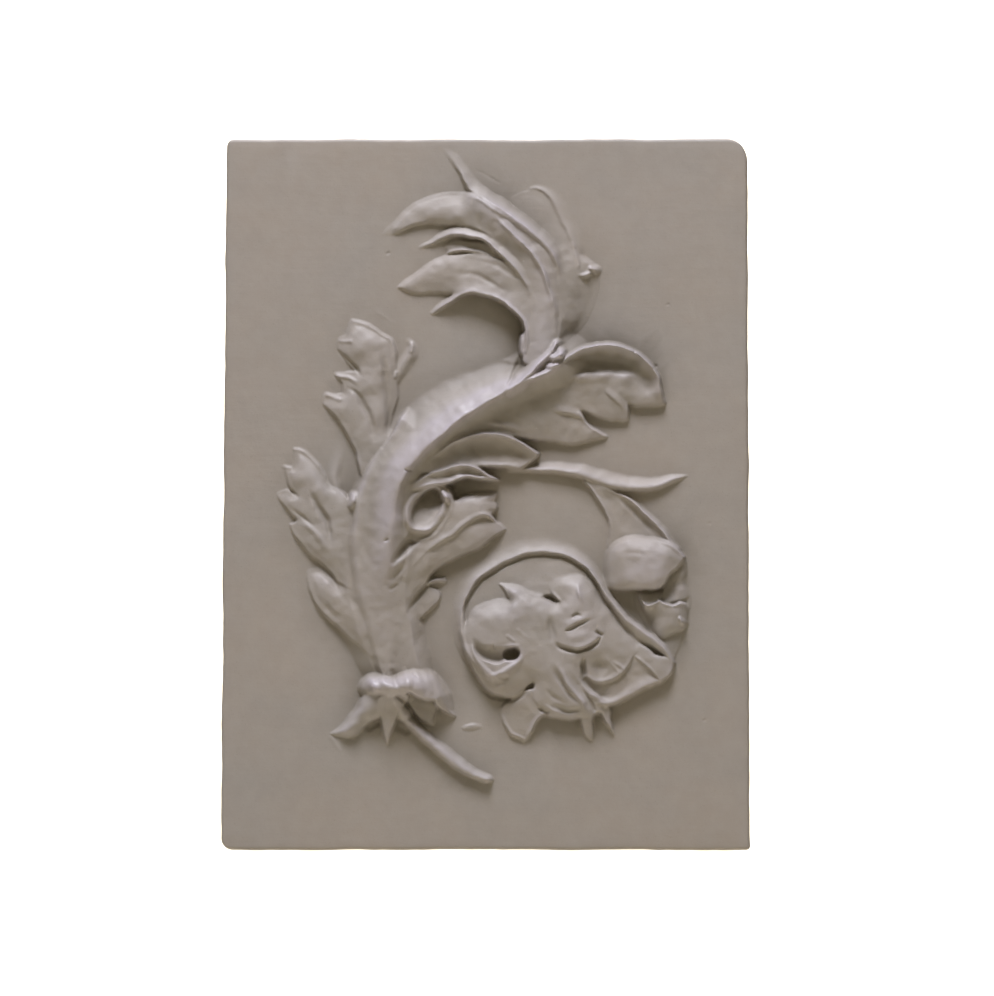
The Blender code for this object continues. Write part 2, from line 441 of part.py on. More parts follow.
def face_points(relief):
    """Rows of points over the face, bottom to top, drawn in at the rounded corners and at the edges."""
    half_height = PANEL_HEIGHT / 2
    half_width = (RIGHT_AT_BOTTOM - LEFT_AT_BOTTOM) / 2
    near_edge = [0.0, 0.5, 1.2, 2.4]
    counts = round(2 * half_width / GRID_STEP), round(2 * half_height / GRID_STEP)
    lines = []
    for half, count in zip((half_width, half_height), counts):
        inner = np.linspace(-half + 4, half - 4, count)
        outer = np.array(near_edge)
        lines.append(np.concatenate([-half + outer, inner, half - outer[::-1]]))
    x, z = np.meshgrid(*lines)
    border = np.minimum(half_width - np.abs(x), half_height - np.abs(z))
    for name, radius in CORNER_RADIUS.items():
        up = 1 if name.startswith("top") else -1
        right = 1 if name.endswith("right") else -1
        across = np.clip((x * right - half_width + radius) / radius, 0, 1)
        along = np.clip((z * up - half_height + radius) / radius, 0, 1)
        x = x - right * radius * across * (1 - np.sqrt(1 - along**2 / 2))
        z = z - up * radius * along * (1 - np.sqrt(1 - across**2 / 2))
    share = (z + half_height) / PANEL_HEIGHT
    left = LEFT_AT_BOTTOM + (LEFT_AT_TOP - LEFT_AT_BOTTOM) * share
    right = RIGHT_AT_BOTTOM + (RIGHT_AT_TOP - RIGHT_AT_BOTTOM) * share
    x = left + (right - left) * (x + half_width) / (2 * half_width)
    rounding = np.clip(1 - border / EDGE_ROUNDING, 0, 1)
    drop = EDGE_ROUNDING * (1 - np.sqrt(1 - rounding**2))
    depth = SLAB_DEPTH + relief.read(x, z) - drop
    return np.stack([x, -depth, z], -1) * MM


def closed_slab(front):
    """A closed mesh from the rows of front points: side walls run straight back to y = 0."""
    rows, columns = front.shape[:2]
    index = np.arange(rows * columns).reshape(rows, columns)
    corners = index[:-1, :-1], index[:-1, 1:], index[1:, 1:], index[1:, :-1]
    faces = np.stack(corners, -1).reshape(-1, 4).tolist()
    rim = np.concatenate([index[0, :-1], index[:-1, -1], index[-1, :0:-1], index[:0:-1, 0]])
    points = front.reshape(-1, 3)
    behind = points[rim] * (1, 0, 1)
    back = (np.arange(len(rim)) + len(points)).tolist()
    for here, there, back_here, back_there in zip(rim, np.roll(rim, -1), back, back[1:] + back[:1]):
        faces.append([int(there), int(here), back_here, back_there])
    faces.append(back[::-1])
    mesh = bpy.data.meshes.new("acanthus_panel")
    mesh.from_pydata(np.vstack([points, behind]).tolist(), [], faces)
    mesh.update()
    return mesh


def plaster():
    material = bpy.data.materials.new("plaster")
    material.use_nodes = True
    shader = material.node_tree.nodes["Principled BSDF"]
    shader.inputs["Base Color"].default_value = PLASTER_COLOUR
    shader.inputs["Roughness"].default_value = PLASTER_ROUGHNESS
    shader.inputs["Metallic"].default_value = 0.0
    return material


def make_panel():
    """The panel as one object, with its even grid thinned where the surface is plain."""
    mesh = closed_slab(face_points(carve()))
    mesh.materials.append(plaster())
    panel = bpy.data.objects.new("acanthus_panel", mesh)
    bpy.context.collection.objects.link(panel)
    thin = panel.modifiers.new("thin", "DECIMATE")
    thin.ratio = FACE_TRIANGLES / (2 * len(mesh.polygons))
    thin.use_collapse_triangulate = True
    mesh.shade_smooth()
    return panel


for old in list(bpy.data.objects):
    bpy.data.objects.remove(old)
make_panel()
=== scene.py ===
"""The look of a cast plaster panel with an acanthus leaf, a flower in a round tendril and a bell flower.

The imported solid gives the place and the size. One closed piece stands for it here, with the carving cut
fine: heights over the face of the slab, in millimetres, drawn with strokes along lines, forms inside closed
outlines, and veins or grooves. The mesh is in metres. The panel's back is the plane y = 0 and its front
faces -Y.
"""

import math

import bpy
import numpy as np
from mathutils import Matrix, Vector


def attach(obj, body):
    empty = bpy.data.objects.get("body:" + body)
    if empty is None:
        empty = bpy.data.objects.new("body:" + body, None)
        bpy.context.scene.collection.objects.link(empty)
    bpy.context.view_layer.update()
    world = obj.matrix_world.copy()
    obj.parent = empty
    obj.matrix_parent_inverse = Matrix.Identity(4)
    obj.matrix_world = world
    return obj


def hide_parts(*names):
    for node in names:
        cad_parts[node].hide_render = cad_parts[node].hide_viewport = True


MM = 0.001

# Panel, as in the solid, in millimetres
PANEL_HEIGHT = 450.0
SLAB_DEPTH = 30.0
LEFT_AT_TOP = -164.0
LEFT_AT_BOTTOM = -167.7
RIGHT_AT_TOP = 165.2
RIGHT_AT_BOTTOM = 166.8
EDGE_ROUNDING = 2.5
BACK_ROUNDING = 1.0
CORNER_RADIUS = {"top_left": 5.0, "top_right": 14.0, "bottom_left": 8.0, "bottom_right": 3.0}

# Mesh of the panel: rows of points near the edge, even steps inside, and rings back along the walls
EDGE_ROWS = (0.0, 0.15, 0.4, 0.8, 1.3, 1.9, 2.5, 3.1)
EDGE_BAND = 3.7
FACE_STEP = 0.6
WALL_DEPTH = 27.0
WALL_ROWS = (0.85, 0.65, 0.45, 0.25, 0.1)
BACK_ROWS = (30, 60, 90)
TRIANGLES = 190000

# Carving: the grid of heights, in millimetres, and the slope of the walls, as height over distance
GRID_STEP = 0.5
GRID_HALF_WIDTH = 172.0
GRID_HALF_HEIGHT = 230.0
WALL_SLOPE = 6.0
FORM_WALL_SLOPE = 7.0
TALLEST_WALL = 30.0
MARGIN = 3.0
FULL_FILLET_FROM = 4.0
RIM_ROUNDING = 0.6
LEAST_ROUNDING = 0.1
TOOL_SOFTNESS = 0.4
# Low carving is this share of its modelled height; carving at the full height is kept as it is.
LOW_SHARE = 0.8
FULL_HEIGHT = 21.5

# Unevenness: how much of it, and the size of its lumps, in millimetres
NOISE_SPAN = 560
NOISE_START = 260
NOISE_GAIN = 1.6
HAND_WAVER = 0.7
HAND_CELL = 7
HAND_FINE = (0.4, 2.8)
EDGE_OUT = 0.35
EDGE_WAVER_BAND = 12.0
EDGE_WAVER = (0.4, 17)
EDGE_NICKS = (0.2, 5)
CARVING_FROM = 4.0
CARVING_LUMPS = (0.3, 5.5)
CARVING_FINE_LUMPS = (0.24, 2.6)
GROUND_SWELL = (0.28, 34)
SWELL_LOST_ON_CARVING = 0.6
FACE_SET_BACK = 0.3

# Painted shade in the hollows and painted highlight on crests and swells: the radius that a spot is compared
# with, and the difference that counts in full, in millimetres
NARROW_HOLLOW = (3.0, 3.0)
WIDE_HOLLOW = (9.0, 6.0)
HIGHLIGHT_CREST = (2.5, 1.6)
HIGHLIGHT_SWELL = (14.0, 6.0)
MOST_SWELL = 0.75
HIGHLIGHT_FROM = 7.0
HIGHLIGHT_OVER = 8.0
LEAST_HIGHLIGHT = 0.25
SHADE_AND_HIGHLIGHT_SOFTNESS = 0.7
SHADE_AND_HIGHLIGHT_REACH = 4.0

# Plaster colours
PLASTER_GREY = (0.285, 0.262, 0.240, 1.0)
PLASTER_WARM = (0.310, 0.272, 0.238, 1.0)
PLASTER_PALE = (0.360, 0.335, 0.310, 1.0)
# Dark olive: the real dark specks, and painted shade where it is laid into the hollows
PLASTER_WASH_AND_SHADE = (0.115, 0.097, 0.070, 1.0)
# Pale lilac painted highlight for the crests and swells
PLASTER_HIGHLIGHT = (0.455, 0.420, 0.475, 1.0)
PALE_SHARE = 0.22
SPECK_SHARE = 0.18
HOLLOW_SHARE = 0.8
HIGHLIGHT_SHARE = 0.7

# Plaster surface: lump sizes in millimetres, changes of roughness, and the height of each kind of lump
CLOUD_SIZE = 70.0
MOTTLE_SIZE = 9.0
SPECK_SIZE = 1.1
HIGHLIGHT_PATCH_SIZE = 14.0
GLOSS_PATCH_SIZE = 22.0
SMOOTHEST = 0.52
ROUGHEST = 0.64
WEAR_GLOSS = 0.12
NOISE_ROUGHNESS = 0.55
BRUSH_SIZE = 3.2
BRUSH_STRETCH = (0.12, 1.0, 1.0)
BRUSH_TURN = 12.0
BRUSH_HEIGHT = 0.5
LUMP_SIZE = 5.5
LUMP_HEIGHT = 0.8
GRAIN_SIZE = 0.8
GRAIN_HEIGHT = 0.16
BUMP_STRENGTH = 0.35
BUMP_DEPTH = 0.5

# Studio, in metres
CAMERA_DISTANCE = 2.4
CAMERA_X = 0.00696
CAMERA_Z = -0.0022
SENSOR_WIDTH = 36
FRAME_WIDTH = 0.6304
FLOOR_Z = -1.6
FLOOR_FRONT_Y = -5.0
STAGE_HALF_WIDTH = 6.0
STAGE_BEND = 0.8
BACKDROP_Y = 3.2
BACKDROP_TOP_Z = 5.0
PAPER_COLOUR = (0.70, 0.65, 0.54, 1.0)
PAPER_ROUGHNESS = 0.9
KEY_PLACE = (-0.35, -1.40, 3.25)
KEY_SIZE = (1.3, 1.0)
KEY_POWER = 194.0
KEY_COLOUR = (0.91, 0.91, 1.0)
FILL_PLACE = (0.3, -3.4, 0.5)
FILL_SIZE = (2.2, 2.2)
FILL_POWER = 15.0
FILL_COLOUR = (1.0, 0.88, 0.60)
BACKDROP_LIGHT_PLACE = (0, 1.6, 2.6)
BACKDROP_LIGHT_SIZE = (3.0, 0.6)
BACKDROP_LIGHT_POWER = 430.0
BACKDROP_LIGHT_TARGET = (0, 3.2, 0.2)
WHITE = (1, 1, 1)
WORLD_STRENGTH = 0.075
WORLD_COLOUR = (1.0, 0.89, 0.62, 1.0)

# The carving leans towards a viewer straight in front, in millimetres
EYE_X = 7.0
EYE_Z = -2.2
EYE_DISTANCE = 2400.0

# Sections across a form, from its crest (0) to its foot (1)
SECTIONS = {
    "round": lambda q: 1 - q**2,
    "dome": lambda q: np.sqrt(np.maximum(1 - q**2, 0)),
    "scoop": lambda q: (1 - q) ** 2,
    "line": lambda q: 1 - q,
    "bell": lambda q: 0.5 + 0.5 * np.cos(np.pi * q),
    "ledge": lambda q: 1 - q**4,
}


def smooth_line(points, per_span=12):
    """Points along a smooth curve through the given ones."""
    p = np.asarray(points, float)
    if len(p) == 2:
        t = np.linspace(0, 1, per_span)[:, None]
        return p[0] * (1 - t) + p[1] * t
    ends = np.vstack([2 * p[0] - p[1], p, 2 * p[-1] - p[-2]])
    spans = []
    for a, b, c, d in zip(ends[:-3], ends[1:-2], ends[2:-1], ends[3:]):
        spans.append(curved_span(a, b, c, d, per_span))
    spans.append(p[-1:])
    return np.vstack(spans)


def closed_line(points, per_span=8):
    """A smooth closed curve through the points. A point that is given twice is a sharp corner."""
    p = np.asarray(points, float)
    p = np.vstack([p, p[:1]])
    ends = np.vstack([p[-2], p, p[1]])
    spans = []
    for a, b, c, d in zip(ends[:-3], ends[1:-2], ends[2:-1], ends[3:]):
        if not np.allclose(b[:2], c[:2]):
            spans.append(curved_span(a, b, c, d, per_span))
    spans.append(p[-1:])
    return np.vstack(spans)


def curved_span(a, b, c, d, count):
    """Points from b to c on a smooth curve that comes from a and goes on to d."""
    t = np.linspace(0, 1, count, endpoint=False)[:, None]
    return 0.5 * (2 * b + (c - a) * t + (2 * a - 5 * b + 4 * c - d) * t**2 + (3 * b - a - 3 * c + d) * t**3)


def spread(values, t):
    """Values spread evenly from 0 to 1 and read at t, without overshoot."""
    v = np.atleast_1d(np.asarray(values, float))
    if len(v) == 1:
        return np.full_like(t, v[0])
    last = len(v) - 1
    place = np.clip(t * last, 0, last - 1e-9)
    i = place.astype(int)
    f = place - i
    rise = np.diff(v)
    slope = np.zeros(len(v))
    same_way = rise[1:] * rise[:-1] > 0
    slope[1:-1] = np.where(same_way, 2 * rise[1:] * rise[:-1] / (rise[1:] + rise[:-1] + 1e-12), 0)
    slope[0] = rise[0]
    slope[-1] = rise[-1]
    value = (2 * f**3 - 3 * f**2 + 1) * v[i] + (f**3 - 2 * f**2 + f) * slope[i]
    return value + (3 * f**2 - 2 * f**3) * v[i + 1] + (f**3 - f**2) * slope[i + 1]


def blend_up(low, high, softness):
    """The higher of two surfaces, with a fillet between them that fades out near the face of the slab."""
    top = np.maximum(low, high)
    soft = softness * np.clip(np.abs(top) / FULL_FILLET_FROM, 0.05, 1)
    return top + np.maximum(soft - np.abs(low - high), 0) ** 2 / (4 * soft)


def bent_plate(points, grid_x, grid_z, give=0.003):
    """A thin bent plate through the points (x, z, height), read at the grid."""
    size = 30.0
    p = np.asarray(points, float)
    count = len(p)
    x = p[:, 0] / size
    z = p[:, 1] / size

    def bending(distance_squared):
        return 0.5 * distance_squared * np.log(distance_squared + 1e-12)

    system = np.zeros((count + 3, count + 3))
    system[:count, :count] = bending((x[:, None] - x) ** 2 + (z[:, None] - z) ** 2) + np.eye(count) * give
    flat = np.column_stack([np.ones(count), x, z])
    system[:count, count:] = flat
    system[count:, :count] = flat.T
    weights = np.linalg.solve(system, np.concatenate([p[:, 2], np.zeros(3)]))
    height = weights[count] + weights[count + 1] * grid_x / size + weights[count + 2] * grid_z / size
    for px, pz, weight in zip(x, z, weights):
        height = height + weight * bending((grid_x / size - px) ** 2 + (grid_z / size - pz) ** 2)
    return height


class Relief:
    """Heights of the ornament over the face of the slab, on an even grid."""

    def __init__(self):
        self.x = np.arange(-GRID_HALF_WIDTH, GRID_HALF_WIDTH + GRID_STEP / 2, GRID_STEP)
        self.z = np.arange(-GRID_HALF_HEIGHT, GRID_HALF_HEIGHT + GRID_STEP / 2, GRID_STEP)
        self.h = np.zeros((len(self.z), len(self.x)))

    def window(self, line, reach):
        """The part of the grid that a line reaches."""
        low = line.min(0) - reach
        high = line.max(0) + reach
        columns = np.searchsorted(self.x, [low[0], high[0]])
        rows = np.searchsorted(self.z, [low[1], high[1]])
        return slice(rows[0], rows[1]), slice(columns[0], columns[1])

    def nearest(self, line, place):
        """For each grid point: how far along the line its nearest point is, its distance, and which side."""
        grid_x, grid_z = np.meshgrid(self.x[place[1]], self.z[place[0]])
        best = np.full(grid_x.shape, 1e9)
        along = np.zeros(grid_x.shape)
        turn = np.zeros(grid_x.shape)
        steps = np.diff(line, axis=0)
        lengths = np.hypot(steps[:, 0], steps[:, 1])
        starts = np.concatenate([[0], np.cumsum(lengths)])
        for (ax, az), (dx, dz), length, start in zip(line[:-1], steps, lengths, starts):
            if length < 1e-9:
                continue
            u = np.clip(((grid_x - ax) * dx + (grid_z - az) * dz) / length**2, 0, 1)
            distance = (grid_x - ax - u * dx) ** 2 + (grid_z - az - u * dz) ** 2
            closer = distance < best
            best = np.where(closer, distance, best)
            along = np.where(closer, (start + u * length) / starts[-1], along)
            turn = np.where(closer, dx * (grid_z - az) - dz * (grid_x - ax), turn)
        return along, np.sqrt(best), turn > 0

    def put(self, place, surface, mode, softness):
        """Lays a surface over the relief, or cuts the relief down to it."""
        if mode == "raise":
            self.h[place] = blend_up(self.h[place], surface, softness)
        else:
            self.h[place] = -blend_up(-self.h[place], -surface, softness)

    def stroke(self, points, crest, left, right=None, soft=1.2, mode="raise", wall=WALL_SLOPE):
        """A ridge or hollow along a line. Each side is (width, height at its foot, section)."""
        right = right or left
        line = smooth_line(points)
        reach = max(np.max(left[0]), np.max(right[0])) + (np.max(np.abs(crest)) + 4) / abs(wall) + MARGIN
        place = self.window(line, reach)
        along, distance, is_left = self.nearest(line, place)
        top = spread(crest, along)
        sides = []
        for width, foot, section in (left, right):
            w = np.maximum(spread(width, along), 0.05)
            f = spread(foot, along)
            q = np.clip(distance / w, 0, 1)
            sides.append(f + (top - f) * SECTIONS[section](q) - np.maximum(distance - w, 0) * wall)
        self.put(place, np.where(is_left, sides[0], sides[1]), mode, soft)

    def form(self, outline, spots=(), edge=1.2, soft=1.2, wall=FORM_WALL_SLOPE, mode="raise", reach=3):
        """A surface inside a closed outline, with its heights given on the outline and at inner spots."""
        border = closed_line(outline)
        place = self.window(border[:, :2], TALLEST_WALL / abs(wall) + MARGIN)
        grid_x, grid_z = np.meshgrid(self.x[place[1]], self.z[place[0]])
        best = np.full(grid_x.shape, 1e9)
        rim = np.zeros(grid_x.shape)
        inside = np.zeros(grid_x.shape, bool)
        for (ax, az, ah), (bx, bz, bh) in zip(border[:-1], border[1:]):
            dx = bx - ax
            dz = bz - az
            length_squared = dx * dx + dz * dz
            if length_squared < 1e-9:
                continue
            u = np.clip(((grid_x - ax) * dx + (grid_z - az) * dz) / length_squared, 0, 1)
            distance = (grid_x - ax - u * dx) ** 2 + (grid_z - az - u * dz) ** 2
            closer = distance < best
            best = np.where(closer, distance, best)
            rim = np.where(closer, ah + u * (bh - ah), rim)
            if az != bz:
                crossing = (grid_x < dx * (grid_z - az) / dz + ax) & ((az > grid_z) != (bz > grid_z))
                inside ^= crossing
        distance = np.sqrt(best)
        marks = {(round(x, 1), round(z, 1)): height for x, z, height in list(outline) + list(spots)}
        inner = bent_plate([(x, z, height) for (x, z), height in marks.items()], grid_x, grid_z)
        sign = 1 if mode == "raise" else -1
        rounding = np.minimum(edge, np.maximum(RIM_ROUNDING * rim, LEAST_ROUNDING)) if sign > 0 else edge
        fall = np.clip(1 - distance / rounding, 0, 1)
        drop = rounding * (1 - np.sqrt(np.maximum(1 - fall * fall, 0)))
        share = np.clip(distance / reach, 0, 1)
        on_form = rim * (1 - share) + inner * share - sign * drop
        self.put(place, np.where(inside, on_form, rim - sign * rounding - distance * wall), mode, soft)

    def add(self, points, height, width, right_width=None, section="bell"):
        """A vein or a groove: height is added along a line and falls to nothing at the width of each side."""
        right_width = width if right_width is None else right_width
        line = smooth_line(points)
        place = self.window(line, max(np.max(width), np.max(right_width)) + 1)
        along, distance, is_left = self.nearest(line, place)
        w = np.where(is_left, spread(width, along), spread(right_width, along))
        q = np.clip(distance / np.maximum(w, 0.05), 0, 1)
        self.h[place] += spread(height, along) * SECTIONS[section](q)

    def lip(self, points, height, reach, back=0.8):
        """An overlapping edge: the surface rises to the line from its left and drops at once on its right."""
        self.add(points, height, reach, back)

    def read(self, x, z, heights=None):
        """The heights, or another layer on the same grid, read between the grid's points."""
        layer = self.h if heights is None else heights
        u = np.clip((x - self.x[0]) / GRID_STEP, 0, len(self.x) - 1.001)
        v = np.clip((z - self.z[0]) / GRID_STEP, 0, len(self.z) - 1.001)
        i = u.astype(int)
        j = v.astype(int)
        fu = u - i
        fv = v - j
        low = layer[j, i] * (1 - fu) + layer[j, i + 1] * fu
        high = layer[j + 1, i] * (1 - fu) + layer[j + 1, i + 1] * fu
        return low * (1 - fv) + high * fv


def softened(layer, radius):
    """A layer of the grid, blurred evenly in every direction by a radius in millimetres."""
    sigma = radius / GRID_STEP
    reach = int(3 * sigma + 1)
    weights = np.exp(-0.5 * (np.arange(-reach, reach + 1) / sigma) ** 2)
    weights /= weights.sum()
    padded = np.pad(layer, reach, mode="edge")
    rows = sum(w * padded[i : i + layer.shape[0], :] for i, w in enumerate(weights))
    return sum(w * rows[:, i : i + layer.shape[1]] for i, w in enumerate(weights))


def low_mass(clay):
    """The soft low back of the leaf, on the left of its crest."""
    clay.stroke([(-66, -112), (-72, -85), (-79, -55), (-82, -25), (-79, 0), (-73, 16), (-66, 28)],
        crest=[9, 10.2, 11, 11.4, 11.4, 10.8, 9], left=([4, 9, 12, 14, 10, 7, 6], 0, "bell"),
        right=(24, 8.6, "ledge"), soft=3, wall=1)


def left_low(clay):
    """The lowest leaflet on the left."""
    clay.form([(-114, -48.5, 0.5), (-107, -46.8, 0.5), (-100, -50, 1), (-93.5, -56, 2.1), (-87, -64.5, 4.2),
        (-78, -74, 6.8), (-66, -95, 7.6), (-62, -112, 6.8), (-69.5, -109, 6), (-72.5, -102.5, 5.5),
        (-80, -96, 5.1), (-90, -87.3, 4.7), (-100, -78.7, 4.2), (-107, -71, 3.6), (-111.5, -63, 2.7),
        (-113.5, -56, 1.5)], [(-108, -55, 3.8), (-100, -56.5, 5.5), (-94, -64, 6.8), (-103, -64, 5.3),
        (-95, -74, 6.4), (-86, -78, 7.2)], wall=6, reach=5)
    clay.add([(-105, -66), (-98, -74), (-90, -81)], height=[-0.3, -0.9, -0.2], width=3)


def left_mid(clay):
    """The middle group of leaflets on the left."""
    clay.form([(-121, 29.5, 0.5), (-121, 29.5, 0.5), (-116, 28.5, 0.7), (-111.5, 24.5, 0.8),
        (-106, 19.5, 1.2), (-103, 13.5, 1.5), (-99, 7, 2.1), (-92, 2, 4.2), (-84, -8, 6.8), (-76, -30, 7.6),
        (-80, -58, 6.8), (-92.5, -56.5, 4.7), (-98, -50.5, 4.2), (-104, -44.5, 3.9), (-110, -38.6, 3.6),
        (-117, -31.5, 3.1), (-122, -24.5, 2.4), (-125, -18, 1.2), (-125, -18, 1.2), (-120.5, -15.8, 3.1),
        (-126, -9.5, 2.7), (-131, -2.5, 1.4), (-131, -2.5, 1.4), (-131.5, 1.5, 0.5), (-126, 3.6, 1),
        (-121.5, 0.2, 2.4), (-125, 6, 2.2), (-127.3, 13, 1.4), (-127.5, 17.5, 0.5), (-123, 19, 0.8)],
        [(-117, 23, 3.2), (-110, 14, 5.5), (-104, 4, 6.4), (-117, 8, 5.1), (-123, 14, 3.4), (-112, -2, 5.8),
        (-122, -4, 4.4), (-104, -12, 5.5), (-112, -12, 5.5), (-99, -24, 6), (-108, -28, 6.4),
        (-96, -40, 6.8), (-90, -18, 7.2)], wall=5, reach=4)
    for vein in (
        ([(-121, 29), (-115.5, 27.5), (-109, 21.5), (-103.5, 14), (-100, 7)], [0.6, 1.1, 1.1, 1, 0.3],
         [1.6, 2, 2, 2, 1.6]),
        ([(-111, 2), (-107.5, -5.5), (-103, -13), (-99.5, -22), (-98, -32)], [-0.4, -1.9, -2.4, -1.6, -0.2],
         [2, 3, 3.2, 3, 2.4]),
        ([(-122, -9), (-116, -14), (-110, -20)], [-0.5, -1.4, -0.3], 1.8),
        ([(-118, -17), (-112, -21.5), (-106, -28), (-99, -37)], [0.3, 1.3, 1, 0.2], 3),
        ([(-123, 3), (-119, -1.5)], [-1.4, -0.8], 1.3),
        ([(-128, 17.5), (-124.5, 17)], [0.8, 0.9], 2),
    ):
        clay.add(*vein)
    clay.stroke([(-94, 29), (-94, 21), (-96, 12), (-95, 4)], crest=[0.4, 1.3, 2, 2.8], left=(5, 0, "bell"),
        right=(6, 0, "bell"), soft=2.5, wall=0.2)
    clay.stroke([(-84.5, -7), (-83.6, -4), (-83, -1.5)], crest=[10.2, 11.8, 10], left=(2.6, 8.6, "bell"))


def left_top(clay):
    """The upper group of leaflets on the left, with the small one beside it."""
    clay.form([(-85.5, 111, 0.6), (-85.5, 111, 0.6), (-78, 109.8, 0.6), (-72.5, 107.2, 0.7),
        (-66.5, 103, 0.8), (-61, 99.5, 1), (-58, 94, 1.3), (-56, 86, 1.9), (-55, 74, 2.4), (-56, 60, 1.8),
        (-58, 50, 2), (-60, 42, 3), (-56, 34, 5), (-50, 24, 7), (-60, 8, 7), (-77, 9, 6), (-81.5, 20, 4.5),
        (-85, 33, 4.2), (-92.5, 45.5, 3.8), (-99.5, 54, 2.7), (-103.5, 58, 1.1), (-102.5, 64.5, 0.5),
        (-96, 63.5, 1), (-91.5, 64, 2.4), (-91.5, 64, 2.4), (-92, 71, 1.9), (-96, 76.8, 0.5),
        (-89, 77.5, 1), (-82.5, 78, 2.7), (-82.5, 78, 2.7), (-88.5, 85, 2.6), (-94, 92.5, 1.1),
        (-94, 99, 0.5), (-89, 101.5, 0.8)], [(-80, 104, 4.2), (-70, 98, 5.6), (-75, 88, 6.4),
        (-84, 92, 5.2), (-63, 90, 4.5), (-73, 70, 7.2), (-70, 52, 7.2), (-62, 66, 4), (-61, 50, 4.2),
        (-82, 70, 4.8), (-86, 60, 5.4), (-80, 46, 6), (-92, 56, 4.8), (-76, 60, 5.6), (-66, 34, 7.2)],
        wall=4, reach=4)
    for vein in (
        ([(-84, 110), (-78, 108.4), (-72, 105.5), (-66, 101.4), (-61, 97.5), (-58.5, 91), (-57.5, 82)],
         [0.6, 1.3, 1.5, 1.4, 1.4, 1, 0.2], 2),
        ([(-93, 91), (-88, 86), (-82.5, 80.5), (-79, 75)], [-1.2, -2.2, -2.4, -0.3], [1.4, 2, 2, 1.4]),
        ([(-93.5, 97.2), (-85, 96.8)], [0.8, 1], 1.7),
        ([(-94, 75), (-88, 74), (-83, 71.2)], [1.2, 1.6, 0.8], 1.9),
        ([(-101, 62.8), (-93, 60)], [1.2, 1.4], 2),
        ([(-88, 67.5), (-81, 62.5), (-76.5, 54), (-72.5, 45), (-70.5, 35)], [-0.4, -1.8, -2.2, -1.6, -0.2],
         [2, 3, 3.6, 3.4, 3]),
        ([(-66.5, 91), (-63.5, 80), (-62, 66), (-61, 52), (-62, 41)], [-0.2, -1.4, -1.4, -1.2, -0.2],
         [2, 3.4, 3.6, 3.4, 3]),
    ):
        clay.add(*vein)
    clay.stroke([(-55.5, 72), (-54, 78), (-50.5, 84), (-47.5, 89), (-46.5, 94), (-48.5, 98)],
        crest=[2, 2.4, 2.4, 2.6, 2.2, 0.6], left=([3, 4.4, 5.6, 5.6, 4.6, 2.4], 0, "bell"),
        right=([3, 5, 6, 6, 4.5, 2], 0, "bell"), soft=2, wall=0.4)
    for vein in (
        ([(-56.5, 74), (-55.8, 77)], 1.4, 1.6),
        ([(-47.5, 91), (-46.5, 96)], 1.2, 2),
    ):
        clay.add(*vein)


def body(clay):
    """The broad rounded back of the leaf, from the stem up to the throat."""
    clay.stroke([(-61, -118), (-63.5, -92), (-65, -60), (-62, -30), (-57, 0), (-48, 19), (-34, 33),
        (-18, 46.2), (-8, 52.6), (2, 58.8), (12, 65.4), (21, 69), (31, 73.2), (40, 77.6), (46, 82)],
        crest=[10.6, 10, 10.4, 12.2, 16.4, 19.3, 20.5, 21, 21, 21, 20.5, 20, 19, 18.5, 18],
        left=([8, 12, 18, 22, 25, 27, 29, 31, 31, 30, 28, 25, 20, 12, 6],
        [5, 7, 8.4, 8, 5, 2, 0, 0, 0, 0, 0, 0, 0, 6, 12], "bell"),
        right=([9, 12, 13, 14, 14, 12, 9, 5, 3.5, 3, 2.6, 2.4, 2.2, 2, 2],
        [1.6, 3, 7, 9, 12, 13, 14, 15.5, 16, 16, 16, 15.5, 15, 14.5, 15], "bell"), soft=5, wall=0.7)
    clay.lip([(-40, 28), (-29, 37), (-18, 46.2), (-8, 52.6), (2, 58.8), (12, 65.4), (21, 69), (31, 73.2),
        (41, 78)], [0.2, 0.8, 1.3, 1.4, 1.5, 1.5, 1.3, 1.1, 0.3], 4, back=1)


